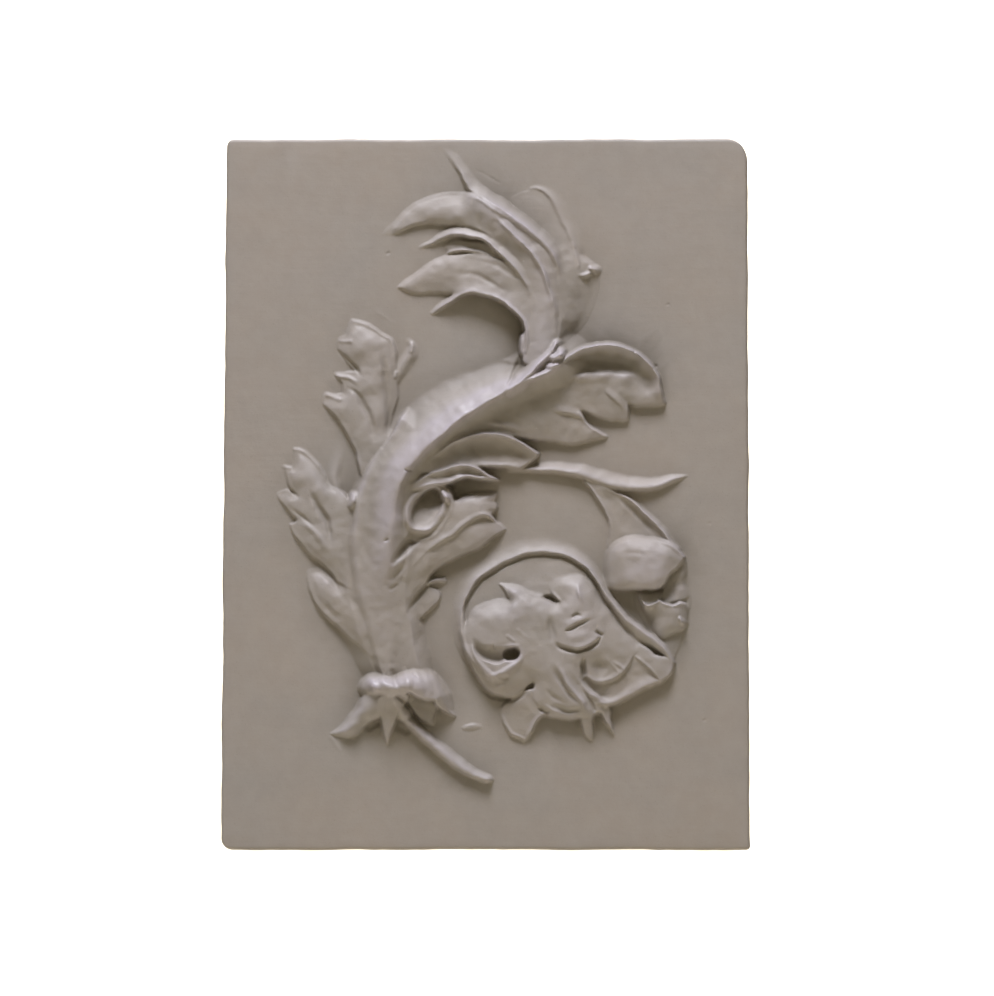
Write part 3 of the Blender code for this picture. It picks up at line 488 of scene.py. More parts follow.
def right_leaf(clay):
    """The large hollow leaf at the upper right, with its high rim and three lobes."""
    clay.form([(-44, 24, 13), (-30, 34, 14), (-18, 43.5, 14), (-8, 50, 14), (2, 56.5, 14), (12, 63, 14),
        (22, 67.5, 13.5), (32, 71.5, 13.5), (40, 75.5, 14), (45, 80.5, 15), (50, 86, 16.5), (56, 90.3, 17),
        (62, 93.2, 17.2), (70, 94.4, 17), (80, 94.4, 16), (87, 93, 15), (93, 90, 14), (100, 85.6, 13),
        (106, 80.2, 12), (109.3, 74, 11), (110.6, 67, 9.5), (113.5, 58, 3.4), (113.5, 58, 3.4),
        (107, 56.2, 4), (97, 56, 4.2), (90.3, 57.4, 5), (90.3, 57.4, 5), (90.8, 52, 4.6), (90.3, 47.3, 3),
        (90.3, 47.3, 3), (84, 46.7, 3.6), (77, 47.3, 4), (69, 50.4, 4.6), (60.5, 53, 5.6), (60.5, 53, 5.6),
        (66, 43.5, 4), (77.5, 36.8, 1.8), (77.5, 36.8, 1.8), (69, 34.3, 2.8), (60, 32.2, 3.4),
        (52, 31.8, 3.8), (44, 33.2, 4.2), (31, 34.2, 5.4), (20, 36, 8), (0, 38, 10), (-20, 33, 12),
        (-38, 20, 13)], [(30, 64, 9), (46, 76, 8.4), (53, 82.5, 6.4), (60, 87, 5.6), (72, 89.5, 5.4),
        (84, 88.6, 5), (94, 84, 5), (103, 75, 5), (60, 80, 4.2), (74, 81, 3.8), (88, 80, 3.6),
        (98, 74, 4.2), (105, 67, 5.6), (60, 75, 8.6), (74, 75.6, 8.4), (88, 74.6, 8), (45, 66, 7.6),
        (12, 54, 10), (-10, 43, 12.5), (60, 70, 7.6), (78, 70, 7.2), (92, 66, 6.8), (50, 56, 7),
        (68, 60, 6.4), (82, 52, 5.4), (32, 48, 8.4), (52, 42, 5.8), (66, 38.5, 4.4), (20, 47, 9.2),
        (100, 61, 6.2)], edge=0.9, wall=12, reach=1)
    clay.lip([(97, 74), (88, 75.6), (78, 76.6), (68, 76.6), (58, 75.6), (51, 73)],
        [0.3, 1.1, 1.5, 1.5, 1.1, 0.2], 8, back=0.7)
    clay.add([(60, 86), (72, 86.5), (84, 85), (94, 81)], height=[0.1, 0.7, 0.7, 0.1], width=2.2)
    clay.lip([(75.5, 66), (79.5, 61.5), (83.5, 57.5), (87.5, 53.5)], [0.3, 1.4, 1.2, 0.2], 5, back=1)
    clay.lip([(42, 53.2), (49, 52.4), (55, 50.6), (59, 49)], [0.2, 1.3, 1.6, 1.2], 6, back=1.2)
    clay.add([(59.5, 51), (65, 44.5), (71, 39.7), (76.5, 37)], height=[1, 1.1, 0.9, 0.3], width=2)
    clay.lip([(1, 45.4), (9, 44), (16, 42), (22, 40)], [0.2, 1.5, 1.5, 0.3], 5, back=1.2)
    for vein in (
        ([(93.6, 90.6), (92.6, 87.8)], [-4, -2], [0.8, 0.6]),
        ([(107.4, 81.6), (105.4, 79)], [-1.4, -0.8], [1.4, 0.8]),
    ):
        clay.add(*vein)


def scoop_leaf(clay):
    """The hollow leaf below the large one."""
    clay.form([(-48, 15, 13), (-38, 22, 14.5), (-28, 29, 14.5), (-20, 33.8, 14.5), (-10, 37.6, 14),
        (0, 38.9, 13.5), (10, 38.1, 12.5), (19, 34.8, 11.4), (26.5, 30.2, 9.6), (33, 25.2, 6.5),
        (33, 25.2, 6.5), (29.5, 21.3, 6.6), (25, 18.6, 6.8), (20.5, 16.2, 6.8), (20.5, 16.2, 6.8),
        (10, 17.2, 7.2), (0, 17.4, 8.4), (-15, 18, 10.5), (-30, 14, 13)], [(-30, 24, 13), (-20, 27, 10.5),
        (-8, 31, 7.6), (3, 31.5, 6.6), (14, 30, 6), (23, 26.5, 5.4), (-15, 22.5, 9.5), (0, 23, 7.2),
        (14, 21.5, 6.4), (-34, 22, 14)], edge=0.9, wall=9, reach=2)
    for vein in (
        ([(-36, 23.5), (-28, 29), (-20, 33.6), (-10, 37.2), (0, 38.4), (10, 37.6), (19, 34.4), (26, 30),
         (32, 25.6)], [0.2, 0.8, 1.3, 1.6, 1.7, 1.6, 1.4, 1.2, 0.6],
         [2, 2.4, 2.6, 2.6, 2.4, 2.4, 2.2, 2, 1.4]),
        ([(-24, 19.5), (-10, 19.5), (5, 19), (19, 18.6)], [0.2, 1, 1.2, 0.8], [3, 3, 2.6, 2]),
    ):
        clay.add(*vein)
    clay.stroke([(2, 15.6), (10, 15), (19, 14)], crest=[2, 1.5, 1.8], left=(1.6, 3, "scoop"),
        right=(1, 3, "scoop"), mode="cut", soft=0.8, wall=-6)


def small_leaf(clay):
    """The small hollow leaf above the eye."""
    clay.form([(-52, 3, 13.5), (-44, 9, 14.5), (-36, 13, 15), (-28, 16.4, 15), (-20, 18.4, 14.5),
        (-11, 18.6, 13.5), (-4, 16.6, 12.5), (1.5, 12.6, 11), (8.5, 8.8, 7), (8.5, 8.8, 7), (2, 8.8, 10),
        (-5, 9.7, 11.6), (-12, 10.3, 12.8), (-18.5, 9.3, 13.6), (-24, 7.5, 14), (-34, 6, 14.4),
        (-44, 3, 14)], [(-34, 10.5, 13), (-24, 13.6, 11.4), (-12, 15, 10), (-4, 13.4, 9.4), (-14, 12, 12),
        (-3, 11, 10.6), (-26, 10, 13.4), (-40, 7, 14)], edge=0.8, wall=12, reach=1.6)
    for vein in (
        ([(-38, 12), (-28, 16), (-20, 18), (-11, 18.1), (-4, 16.1), (1.5, 12), (7.5, 9.2)],
         [0.2, 0.8, 1.2, 1.4, 1.4, 1.2, 0.4], [2, 2, 2, 2, 2, 1.8, 1.2]),
        ([(-26, 10), (-14, 11), (-4, 10.4), (4, 8.9)], [0.2, 1, 1, 0.2], 1.8),
        ([(1, 15), (5, 12), (8.5, 9.5)], [1.4, 1.8, 0.8], 1.2),
    ):
        clay.add(*vein)


def right_fingers(clay):
    """The two long leaflets on the right of the stem, and the small one under them."""
    clay.form([(13, -22, 2), (13, -22, 2), (10, -19, 3), (4, -16, 5), (-8, -13, 7), (-25, -20, 9),
        (-45, -32, 10), (-58, -52, 8), (-60, -85, 6), (-53, -94, 5), (-51.5, -86, 5.6), (-50, -76, 6.4),
        (-46.5, -68, 6.8), (-42.3, -61.4, 6.8), (-38.2, -56.4, 6.8), (-34, -50.4, 7), (-30, -46.6, 7.2),
        (-25, -43.3, 7.2), (-20, -40.7, 7.2), (-15, -38, 7), (-10, -36.2, 6.8), (-5, -34.4, 6.6),
        (-1, -31.4, 6.2), (3, -28, 5.6), (8, -25, 4.4)], [(0, -21, 6.6), (-10, -26, 8.6), (-18, -33, 8.6),
        (-28, -36, 9.6), (-36, -45, 9.6), (-46, -56, 9.4), (-52, -70, 8.6), (-4, -29, 7.6)],
        edge=1, wall=10, soft=2.2)
    clay.form([(6.5, 0.6, 2.4), (6.5, 0.6, 2.4), (0, 1.3, 3), (-8, 0.7, 4.5), (-16.5, -1.4, 7),
        (-22, -6, 9.5), (-30, -14, 10.5), (-40, -24, 10.5), (-52, -40, 9), (-50, -48, 9),
        (-42, -41.5, 10.2), (-36, -36.6, 10.4), (-30, -32.4, 10.4), (-25, -28.2, 10.4), (-20, -24.6, 10.2),
        (-15, -20.6, 10), (-10, -17.2, 9.6), (-5, -14.8, 9.2), (0, -14, 8.4), (6.5, -16.8, 6),
        (6.5, -16.8, 6), (4, -12, 6), (7.5, -8, 4.4), (5.5, -4, 4.4)], [(-8, -5, 8.6), (-12, -11, 9.6),
        (0, -8, 7.6), (-24, -18, 10.4), (-38, -32, 10.8), (0, -3, 6.4)], edge=0.9, wall=10, soft=2.2)
    for vein in (
        ([(4.5, -15.2), (0, -12.8), (-5, -13.2), (-12, -17), (-20, -23), (-28, -29.6), (-37, -36)],
         [0.2, 0.8, 0.9, 0.9, 0.9, 0.8, 0.2], [1.6, 2.4, 3, 3, 3, 3, 2.4]),
        ([(6, -4.5), (-2, -4.2)], [-0.9, -0.2], 1.2),
        ([(6, -9.5), (-1, -10.5)], [-0.6, -0.1], 1.2),
        ([(-59, -43), (-54, -37), (-49, -31), (-43, -26), (-35, -22), (-27, -14.5), (-22.5, -7)],
         [-1.4, -3.8, -4.4, -4.2, -3.2, -2.6, -0.6], [2.8, 4, 4.8, 5, 4, 3.4, 2.4]),
        ([(-60, -54), (-56, -50), (-52, -44)], [-0.4, -1.2, -0.6], 2.6),
        ([(-60, -60), (-56, -57.5)], -0.8, 1.8),
    ):
        clay.add(*vein)
    clay.form([(-37.5, -57.5, 3), (-33, -59, 2.4), (-29.3, -62.5, 2), (-30.3, -67, 2.6), (-34, -71.8, 3),
        (-40, -77, 3.4), (-46.5, -82.4, 3.8), (-50, -88, 4.4), (-52, -95, 5), (-53.5, -103, 6),
        (-59, -100, 7), (-57, -86, 6), (-51.5, -76, 5), (-46.5, -68.6, 4.2), (-42, -62.4, 3.6)],
        [(-35, -65, 3.4), (-43, -74, 4.4), (-53, -90, 6)], edge=0.8, wall=6, soft=1.5)
    clay.add([(-37, -57), (-40.6, -61.6), (-45, -68.6), (-49, -75)], height=[-0.6, -1.2, -1.2, -0.2],
        width=1.6)
    clay.stroke([(-37, -55.6), (-32.5, -54), (-26.5, -53.8)], crest=[5.2, 4.6, 2], left=(1.4, 1.8, "bell"),
        right=(1.6, 2, "round"), soft=0.8, wall=5)
    clay.stroke([(-47, -100.5), (-43.5, -102.5)], crest=[1.4, 0.8], left=(1.6, 0, "bell"),
        right=(1, 0, "bell"), soft=0.6, wall=1)


def eye(clay):
    """The ring of the eye with its bead."""
    clay.stroke([(-36, -5), (-41, -15)], crest=[12.5, 14], left=(15, 10, "bell"), soft=3)
    clay.form([(-32, 3.2, 2), (-38, 1.2, 3), (-43.5, -5, 6), (-47, -12, 8.5), (-47, -17.4, 10.5),
        (-43.6, -20.4, 11.4), (-38, -20.4, 11.6), (-32.4, -17, 10.5), (-28.6, -10.5, 8.5), (-28, -3, 4)],
        [(-34, -2, 4), (-38, -7, 6), (-41, -13.5, 8.6), (-37, -14, 8.4)],
        edge=0.8, mode="cut", soft=0.8, wall=-10)
    clay.add([(-30, 4.6), (-38, 4), (-45, -1.5), (-49.6, -9.5), (-50.2, -17.4), (-45.4, -22.4),
        (-37.6, -22.8), (-30.6, -18.6), (-26.6, -11), (-26, -4)],
        height=[1, 1.6, 1.6, 1.8, 2.2, 2.4, 2.2, 1.6, 1.2, 0.8], width=2.8)
    clay.stroke([(-27.6, 2), (-25.6, -1.5), (-23.6, -5.5)], crest=[13, 15, 11.5], left=([2.4, 3.2, 2.4],
        7, "round"), soft=1)
    clay.add([(-25, 4.6), (-21, 5)], height=-2.4, width=1.2)


def top_leaf(clay):
    """The fan of long lobes at the top, curling to the left, with its spine, horn, wing and ear."""
    clay.form([(44, 96, 9), (44, 120, 10), (44, 142, 9), (44, 150, 7), (50, 156, 3.2), (57, 153, 3.2),
        (64, 147, 3.4), (69, 143.5, 2.2), (71, 136, 0.8), (70.3, 128, 0.4), (67.5, 118, 0.4),
        (62.5, 109, 0.5), (56, 101.5, 1.2), (48, 95, 8)], [(50, 104, 6.4), (50, 112, 8.4), (50, 126, 8.4),
        (56, 118, 4.4), (62, 122, 1.8), (57, 134, 4.4), (65, 132, 1.5), (51, 141, 7), (62, 140, 3.4),
        (54, 151, 4.6)], edge=0.5, soft=2.5, wall=1, reach=6)
    clay.form([(38, 158, 4), (30, 168, 2.4), (22, 177, 1.6), (16, 186, 0.4), (22, 191, 0.3),
        (30, 192.5, 0.4), (38, 189, 0.6), (44, 181, 1), (50, 170, 1.6), (54, 160, 2.6), (57, 150, 3.4),
        (54, 140, 4), (44, 142, 6)], [(36, 175, 1.8), (44, 162, 3.2)], edge=0.5, soft=2, wall=1, reach=5)
    clay.form([(34, 82, 14), (42, 90, 13), (46, 98, 10.6), (48, 112, 9.6), (47.5, 128, 9.4), (45, 143, 10),
        (38, 156, 12), (29, 164, 12.4), (20, 171.5, 12.4), (10, 178.5, 13), (0, 185, 12.4), (-8, 190, 8.6),
        (-14, 191.6, 1.6), (-28, 191, 0.8), (-40, 187, 0.7), (-50, 180.6, 0.6), (-60, 171, 0.5),
        (-66, 164, 0.3), (-66, 164, 0.3), (-60, 163.8, 0.5), (-56, 165, 1.6), (-50, 168.1, 3),
        (-43, 170.4, 3.4), (-36, 171.3, 3.2), (-30, 171, 3), (-20, 170.4, 4.4), (-10, 169, 7.4),
        (-2, 166, 9), (6, 160, 9.4), (14, 152, 9.8), (22, 142, 10.5), (25, 132, 11), (27, 116, 11),
        (26, 100, 11), (24, 84, 11)], [(-57, 169, 2.4), (-50, 174, 2.8), (-40, 180, 3.7), (-28, 182, 4.8),
        (-16, 182, 6.4), (-44, 174, 3.2), (-32, 176, 5.2), (-18, 177, 7.6), (-5, 180, 11.4),
        (5, 175.5, 12.8), (-14, 172, 6.6), (-4, 171, 8.6), (12, 167.5, 13.2), (19, 161, 13), (30, 149, 13),
        (37, 138, 13.4), (40, 122, 13), (37, 108, 13.2), (35, 96, 14), (34, 128, 12.4), (29, 140, 11.8),
        (21, 150, 10.6), (13, 158.5, 10), (4, 166, 9.8)], edge=0.9, wall=9)


def upper_lobe(clay):
    """The lobe above the upper cavity of the top leaf."""
    clay.form([(-42, 156, 0.4), (-42, 156, 0.4), (-36, 160.5, 0.8), (-29, 165, 1.4), (-22, 169, 2.8),
        (-12, 169, 5.6), (0, 166, 8), (8, 160, 8.8), (15, 152, 9.4), (22, 142.4, 10), (29, 131, 11),
        (28, 124, 11.5), (24, 131, 11), (20.5, 138, 10.5), (14.5, 145.5, 10), (8.5, 152, 9.6),
        (2.5, 157.6, 9), (-6, 162, 7.8), (-15, 164, 6), (-24, 162.8, 3.8), (-32, 160, 2.2)],
        [(-27, 164, 2.6)], edge=0.5, soft=1, wall=12, reach=2)


def fine_ridge(clay):
    """The fine ridge beside the spine, with the soft groove between them."""
    for vein in (
        ([(7, 175), (13, 169), (19, 163), (25.5, 157), (31, 150), (35.6, 143), (38.8, 135), (41.2, 127),
         (43, 118), (43.5, 103)], [0.4, 1.6, 2.2, 2.3, 2.3, 2.2, 1.8, 1.3, 0.8, 0.2],
         [0.9, 1, 1.1, 1.2, 1.2, 1.2, 1.4, 1.6, 2, 2], [2, 2.6, 3.2, 3.2, 3.2, 3, 3, 3, 3, 3]),
        ([(17, 169.5), (24, 164), (30, 158), (34, 151)], [-0.1, -0.6, -0.6, -0.1], 2.6),
    ):
        clay.add(*vein)


def spine_and_horn(clay):
    """The spine of the top leaf, which runs out into the horn."""
    clay.stroke([(48, 130), (46.4, 143), (41, 154.5), (35, 161.2), (28, 167.2), (20, 173.4), (10, 180.2),
        (0, 186.4), (-8, 191.4), (-12.6, 197), (-16, 204), (-19.5, 210.5), (-25, 216.5)],
        crest=[7, 9.5, 12.4, 13.8, 14.4, 14.6, 14.4, 13.6, 11.4, 6, 4, 2, 0.4],
        right=([9, 9, 8, 7, 6.4, 6.2, 6.4, 6.4, 6, 6.4, 6, 5, 3], 0, "line"),
        left=([3, 3, 2.4, 2, 2.2, 2.6, 3, 3, 2.4, 1.6, 1.4, 2, 2],
        [7, 9, 11.4, 13.2, 13.8, 13.9, 13.7, 12.9, 10, 2, 1.2, 0.6, 0], "bell"), soft=1.4, wall=5)
    clay.add([(-12.5, 190.2), (-3, 184.8), (6, 179.4), (14, 174.2)], height=[0.3, 0.7, 0.7, 0.2], width=1.2)


def cavity_lip(clay):
    """The thin lip under the upper cavity."""
    clay.form([(-24.8, 154.2, 1.4), (-24.8, 154.2, 1.4), (-26, 158, 0.6), (-18, 161.6, 1.8), (-8, 160.6, 4),
        (1, 157.4, 6.6), (8, 152.6, 8), (13, 147, 8), (8, 149, 7.6), (2, 150.3, 6.8), (-6, 152.4, 5.4),
        (-14, 153.8, 4.2), (-20, 153.4, 3), (-24.8, 152.2, 2), (-24.8, 152.2, 2)], [(-15, 157, 3),
        (-4, 157, 5)], edge=0.4, wall=9, reach=1.6)
    clay.add([(8, 150), (3, 151.2), (-5, 153.4), (-14, 154.9), (-20, 154.2), (-24, 152.8)],
        height=[0.2, 0.9, 1.2, 1.2, 1.1, 0.7], width=1.5)


def inner_lobe(clay):
    """The broad lobe between the two cavities."""
    clay.form([(-56, 131, 1.4), (-56, 131, 1.4), (-52, 135.4, 0.8), (-46, 140, 0.8), (-40, 144.2, 0.8),
        (-32, 148.6, 1), (-24.5, 151.6, 1.6), (-14, 152.8, 3.6), (-5, 152.4, 6), (3, 150.6, 8.6),
        (12, 147.4, 10.4), (20, 141, 11.2), (27, 132, 11.4), (33, 122, 12), (34, 104, 12), (30, 86, 12),
        (25, 86, 10), (26.2, 98, 11), (24.2, 107, 11.4), (20.2, 114.2, 11.6), (14, 119.6, 11.6),
        (7, 123.8, 11.2), (-1, 126.8, 10.6), (-8, 127.8, 9.8), (-15, 127, 8.2), (-21, 126.8, 3.6),
        (-27, 127.4, 2.4), (-34, 127.2, 1.9), (-42, 127, 1.7), (-48, 128.2, 1.6), (-52.5, 130.4, 1.8)],
        [(-50, 133.4, 2.4), (-44, 137, 3), (-38, 141, 3.4), (-30, 145, 3.9), (-20, 147, 4.8),
        (-40, 132.5, 2.6), (-28, 135, 3.6), (-20, 140, 5), (-10, 144.5, 6.4), (-20, 131.5, 5.2),
        (-10, 136, 7.6), (-8, 131.5, 8), (2, 140, 9), (3, 133, 9), (12, 136, 10.6), (12, 128, 10.2),
        (22, 123, 11)], edge=0.7, wall=12, reach=2)
    for vein in (
        ([(-20, 140.5), (-8, 139), (2, 134.5), (10, 129.5)], [-0.1, -0.6, -0.9, -0.2], 2.6),
        ([(-15, 149.2), (-5, 148), (4, 145.6), (12, 142), (20, 137.4)], [-0.1, -0.2, -0.5, -0.7, -0.3],
         [0.9, 1.2, 2.4, 2.8, 1.4]),
    ):
        clay.add(*vein)


def cavity_rims(clay):
    """The raised rims over the two cavities, and a fine strip at the foot of the lower one."""
    clay.stroke([(28, 127), (25.5, 133), (22, 138.5), (18, 143.3), (13, 148.2), (7.5, 153.4), (2, 158.4),
        (-5, 162.4), (-13, 164.6), (-21, 164.5), (-29, 161.6), (-36, 158.6), (-42, 156)],
        crest=[12, 13, 13.5, 13.6, 13.4, 12.8, 11.8, 10.4, 8.6, 6.4, 3.8, 2.2, 0.6],
        right=([2, 2.6, 3.4, 4, 4.6, 4.8, 4.4, 3.6, 3.2, 2.8, 2.2, 1.6, 1],
        [11, 11.2, 11.2, 10.8, 10, 9, 8, 7, 5.4, 3.6, 2, 1, 0.2], "line"),
        left=(0.7, [11.5, 12, 12.4, 12.4, 12, 11.4, 10.4, 9.2, 7.6, 5.6, 3.2, 1.8, 0.4], "round"),
        soft=0.7, wall=14)
    clay.stroke([(25.5, 90), (26, 98), (24.5, 106.5), (20.6, 113.8), (14.4, 119.2), (7.4, 123.4),
        (0, 126.4), (-8, 127.7), (-15, 126.6), (-21, 123.4), (-27.5, 118.8), (-34.5, 114.2)],
        crest=[12.5, 13.4, 13.8, 13.8, 13.2, 12.4, 11.6, 10.6, 9.2, 7.2, 4.6, 1],
        right=([2, 2.2, 2.6, 3, 3.4, 3.6, 3.6, 3.4, 3, 2.6, 2, 1],
        [11, 11.2, 11, 10.4, 9.2, 8, 7.2, 6.4, 5, 3, 1.6, 0.4], "line"),
        left=(0.7, [10, 11, 12, 12, 11.8, 11.2, 10.4, 9.4, 8, 6.2, 4, 0.8], "round"), soft=0.7, wall=14)
    clay.add([(24.8, 105), (24.6, 97)], height=[-1.2, -0.6], width=0.9)
    clay.stroke([(23.4, 89), (23, 94), (23.6, 100)], crest=[10.8, 11.2, 10], left=(1.2, 9, "round"),
        right=(2.4, 10.6, "bell"), soft=1, wall=8)


def ear_and_knot(clay):
    """The ear at the right of the spine, with its knot."""
    clay.stroke([(59, 145), (57.6, 151), (55.6, 157.6), (53, 165), (50, 171.6), (46, 179), (42, 186),
        (38, 190.6), (33.5, 193.4), (28.5, 193.6)], crest=[5.4, 4.2, 3.6, 3.2, 2.8, 2.5, 2.3, 2, 1.6, 0.6],
        left=([1.2, 1.2, 1.2, 1.2, 1.2, 1.2, 1.2, 1.2, 1, 1],
        [4.9, 3.8, 3.1, 2.6, 2.2, 1.8, 1.5, 1.1, 0.7, 0.2], "bell"), right=([6, 7, 8, 9, 9, 9, 8, 6, 4, 2],
        0, "scoop"), soft=0.8, wall=0.8)
    clay.stroke([(59, 139), (62.5, 138.2), (66, 139.4)], crest=[4.6, 5.4, 5], left=(2.4, 3.4, "bell"),
        right=(1.2, 3, "round"), soft=0.8, wall=3)
    clay.stroke([(66.5, 142.6), (70, 141.6)], crest=[5.8, 5], left=(2.2, 2.4, "bell"),
        right=(2.2, 2.4, "bell"), soft=0.8, wall=2)
    clay.add([(56.5, 157), (55.4, 159)], height=0.4, width=1.4)


def throat(clay):
    """The folds where the leaves meet."""
    clay.stroke([(14, 66.5), (22, 70.6), (29, 77), (36, 85), (43.5, 94.5)],
        crest=[20.6, 20.4, 19.2, 17.6, 15], left=([2.4, 3, 3.4, 3.4, 3], [17, 15, 14, 13, 12.5], "bell"),
        right=([3, 4, 4, 4, 3], [17, 16, 15, 14, 12], "bell"), soft=1, wall=2)
    for vein in (
        ([(14.5, 70), (17.6, 75), (20.6, 81), (23, 88)], [-1.4, -3.2, -3.4, -1], [1.8, 3, 3.8, 2.6]),
        ([(31, 75.6), (36, 79.5), (41, 85.5)], [-0.4, -2.2, -0.6], [2, 3, 2]),
    ):
        clay.add(*vein)
    clay.stroke([(42.5, 86.5), (47, 88.8)], crest=[19, 20.2], left=(3.4, 15, "bell"),
        right=(2.4, 16, "round"), soft=0.8, wall=3)
    clay.stroke([(40.5, 81), (44.5, 82)], crest=[18.8, 19.4], left=(2.4, 16, "bell"),
        right=(1.8, 17, "round"), soft=0.8, wall=3)
    clay.stroke([(42, 91.5), (43.8, 95.5)], crest=[17, 17], left=(2, 13, "bell"), soft=0.8, wall=2)
    clay.add([(38, 83.5), (41, 85)], height=-1.2, width=1.4)


def tendrils(clay):
    """The thin tendril to the right, and the two strands that drop from it to the bell flower."""
    clay.stroke([(14, 15.6), (24, 16), (36, 16), (48, 15), (60, 12.4), (70, 9), (82, 5.6), (92, 4.2),
        (101, 3.8), (109, 5.4), (117, 8.6), (127, 11.6)],
        crest=[3, 4.6, 5.2, 5.6, 6, 6, 6, 6, 5.8, 5, 3.8, 0.8],
        left=([1.5, 4, 5, 6, 7, 8, 8.5, 8.5, 8, 6.5, 4.5, 1.5], 0, "bell"),
        right=([0.8, 1, 1.2, 1.4, 1.6, 1.8, 1.8, 1.8, 1.8, 1.6, 1.4, 0.8],
        [2, 3.4, 3.8, 4, 4.2, 4.2, 4.2, 4.2, 4, 3.4, 2.4, 0.4], "round"), soft=0.8, wall=10)
    clay.form([(62, 9, 3.4), (66, 4, 3.6), (70, -1.5, 3.6), (74, -7.5, 3.4), (77, -13, 3), (78.6, -19, 2.4),
        (78, -26, 1.8), (77, -33, 1.4), (80, -40, 3), (98, -36, 5), (121, -36, 6), (117, -29.5, 5.4),
        (111.5, -22, 5), (105.5, -15, 4.6), (99, -8.8, 4.4), (92, -3, 4.2), (85, 1, 4.4), (74, 6, 4.6)],
        [(78, -3, 2.4), (84, -9, 2.6), (84, -20, 2.8), (90, -24, 3.2), (92, -12, 1.6), (100, -21, 2)],
        edge=0.8, soft=0.8, wall=6, reach=2)
    for vein in (
        ([(61.5, 9.6), (65.6, 4.6), (69.8, -1), (73.6, -7), (76.6, -12.6), (78.4, -18), (78, -26)],
         [0.6, 1.4, 1.5, 1.5, 1.4, 1.1, 0.2], 1.5),
        ([(85.5, 1), (92, -3), (99, -9), (105, -15), (111, -22), (117, -29.5), (121, -34)],
         [0.5, 1.3, 1.8, 2.2, 2.4, 2.2, 1.2], [1.6, 2, 2.6, 3, 3.2, 2.8, 2]),
        ([(82, 1), (89, -5.6), (96, -12), (101.5, -18.5), (105.5, -24)], [-0.3, -1.4, -1.6, -1.4, -0.2],
         [2, 3, 3.4, 3.2, 2.4]),
    ):
        clay.add(*vein)


def bell(clay):
    """The bell flower at the right."""
    clay.form([(75, -46, 1.6), (76, -38, 2), (79, -32, 3), (84, -28, 4.4), (92, -26.4, 5.6),
        (101, -26.8, 6.6), (110, -28.4, 7.6), (118, -31.6, 8), (125, -39.6, 7), (125, -39.6, 7),
        (121, -46, 9.4), (116.4, -51.2, 10.6), (112.6, -56.4, 11.4), (107.5, -59.2, 12), (97, -59.7, 11.6),
        (88, -60, 8.4), (80, -59.6, 5), (75.6, -56, 2.4)], [(82, -36, 7.4), (92, -32, 10), (104, -33, 11.4),
        (116, -37, 11.4), (84, -46, 9), (95, -44, 12), (108, -44, 13), (90, -54, 11.6), (102, -53, 13.4),
        (110, -51, 12.8), (81, -53, 7)], edge=1.1, wall=10)
    for vein in (
        ([(108, -29.2), (113, -30.6), (118.5, -33.8), (124, -39)], [0.3, 1.6, 1.8, 0.8], [1.6, 2, 2, 1.6]),
        ([(84, -37.5), (94, -36.6), (106, -37.6)], [-0.1, -0.5, -0.1], 2.4),
    ):
        clay.add(*vein)
    clay.form([(112, -60, 3), (117, -52, 3), (122, -46.5, 4), (125, -41, 3), (127, -47, 1), (126.4, -54, 1),
        (129, -62, 0.6), (124, -67.5, 4), (114, -68, 5)], [(124.4, -50, 4.2), (123.6, -60, 4.6),
        (117, -60, 2.4)], edge=0.8, wall=3, reach=2)
    clay.form([(95.6, -62.4, 5), (98.4, -67, 7.6), (103, -70, 8.6), (108, -68, 8.4), (110.4, -66.4, 8.2),
        (114, -69, 8.6), (119, -70.4, 8.6), (124.4, -68.6, 6.4), (127.6, -72, 2.4), (127.4, -79, 3.4),
        (125.4, -85.2, 4.6), (119, -87.4, 5.4), (111, -90.2, 4.4), (105, -84.5, 2), (101, -77, 2)],
        [(106, -74, 5.6), (112, -76, 6.6), (121, -76, 8), (113, -83, 6.4), (121, -82, 7)],
        edge=1, soft=1, wall=8, reach=2.4)
    clay.form([(97, -61, 3), (109, -61, 4), (112, -62, 4), (110.6, -65.6, 6.6), (107.4, -67.2, 6.8),
        (103, -69.2, 7), (99, -66.4, 6)], [(104, -64, 4.6)], edge=0.6, soft=0.8, wall=4)
    for vein in (
        ([(95.8, -62.6), (98.8, -67.6), (103, -70), (107.4, -68.2), (110.4, -66.2), (114, -69),
         (119, -70.4), (124, -69)], [0.9, 1.5, 1.6, 1.4, 1.2, 1.5, 1.4, 0.5], 1.7),
        ([(98.4, -60.6), (103, -61.1), (108.6, -60.4)], [-1.5, -3, -1.5], 1.2),
    ):
        clay.add(*vein)
    clay.stroke([(122.6, -79), (123.8, -81)], crest=[9.6, 9], left=(2.4, 5, "bell"), soft=0.8, wall=2)
    clay.form([(94, -62, 0.8), (102, -85, 1), (112, -96, 2.4), (117.5, -105, 2), (120.6, -101, 1.1),
        (124, -92, 1), (127, -80, 0.9), (129, -68, 0.8), (127, -58, 0.8), (112, -62, 1)], [(118, -95, 2)],
        edge=0.6, soft=1.5, wall=1.2)


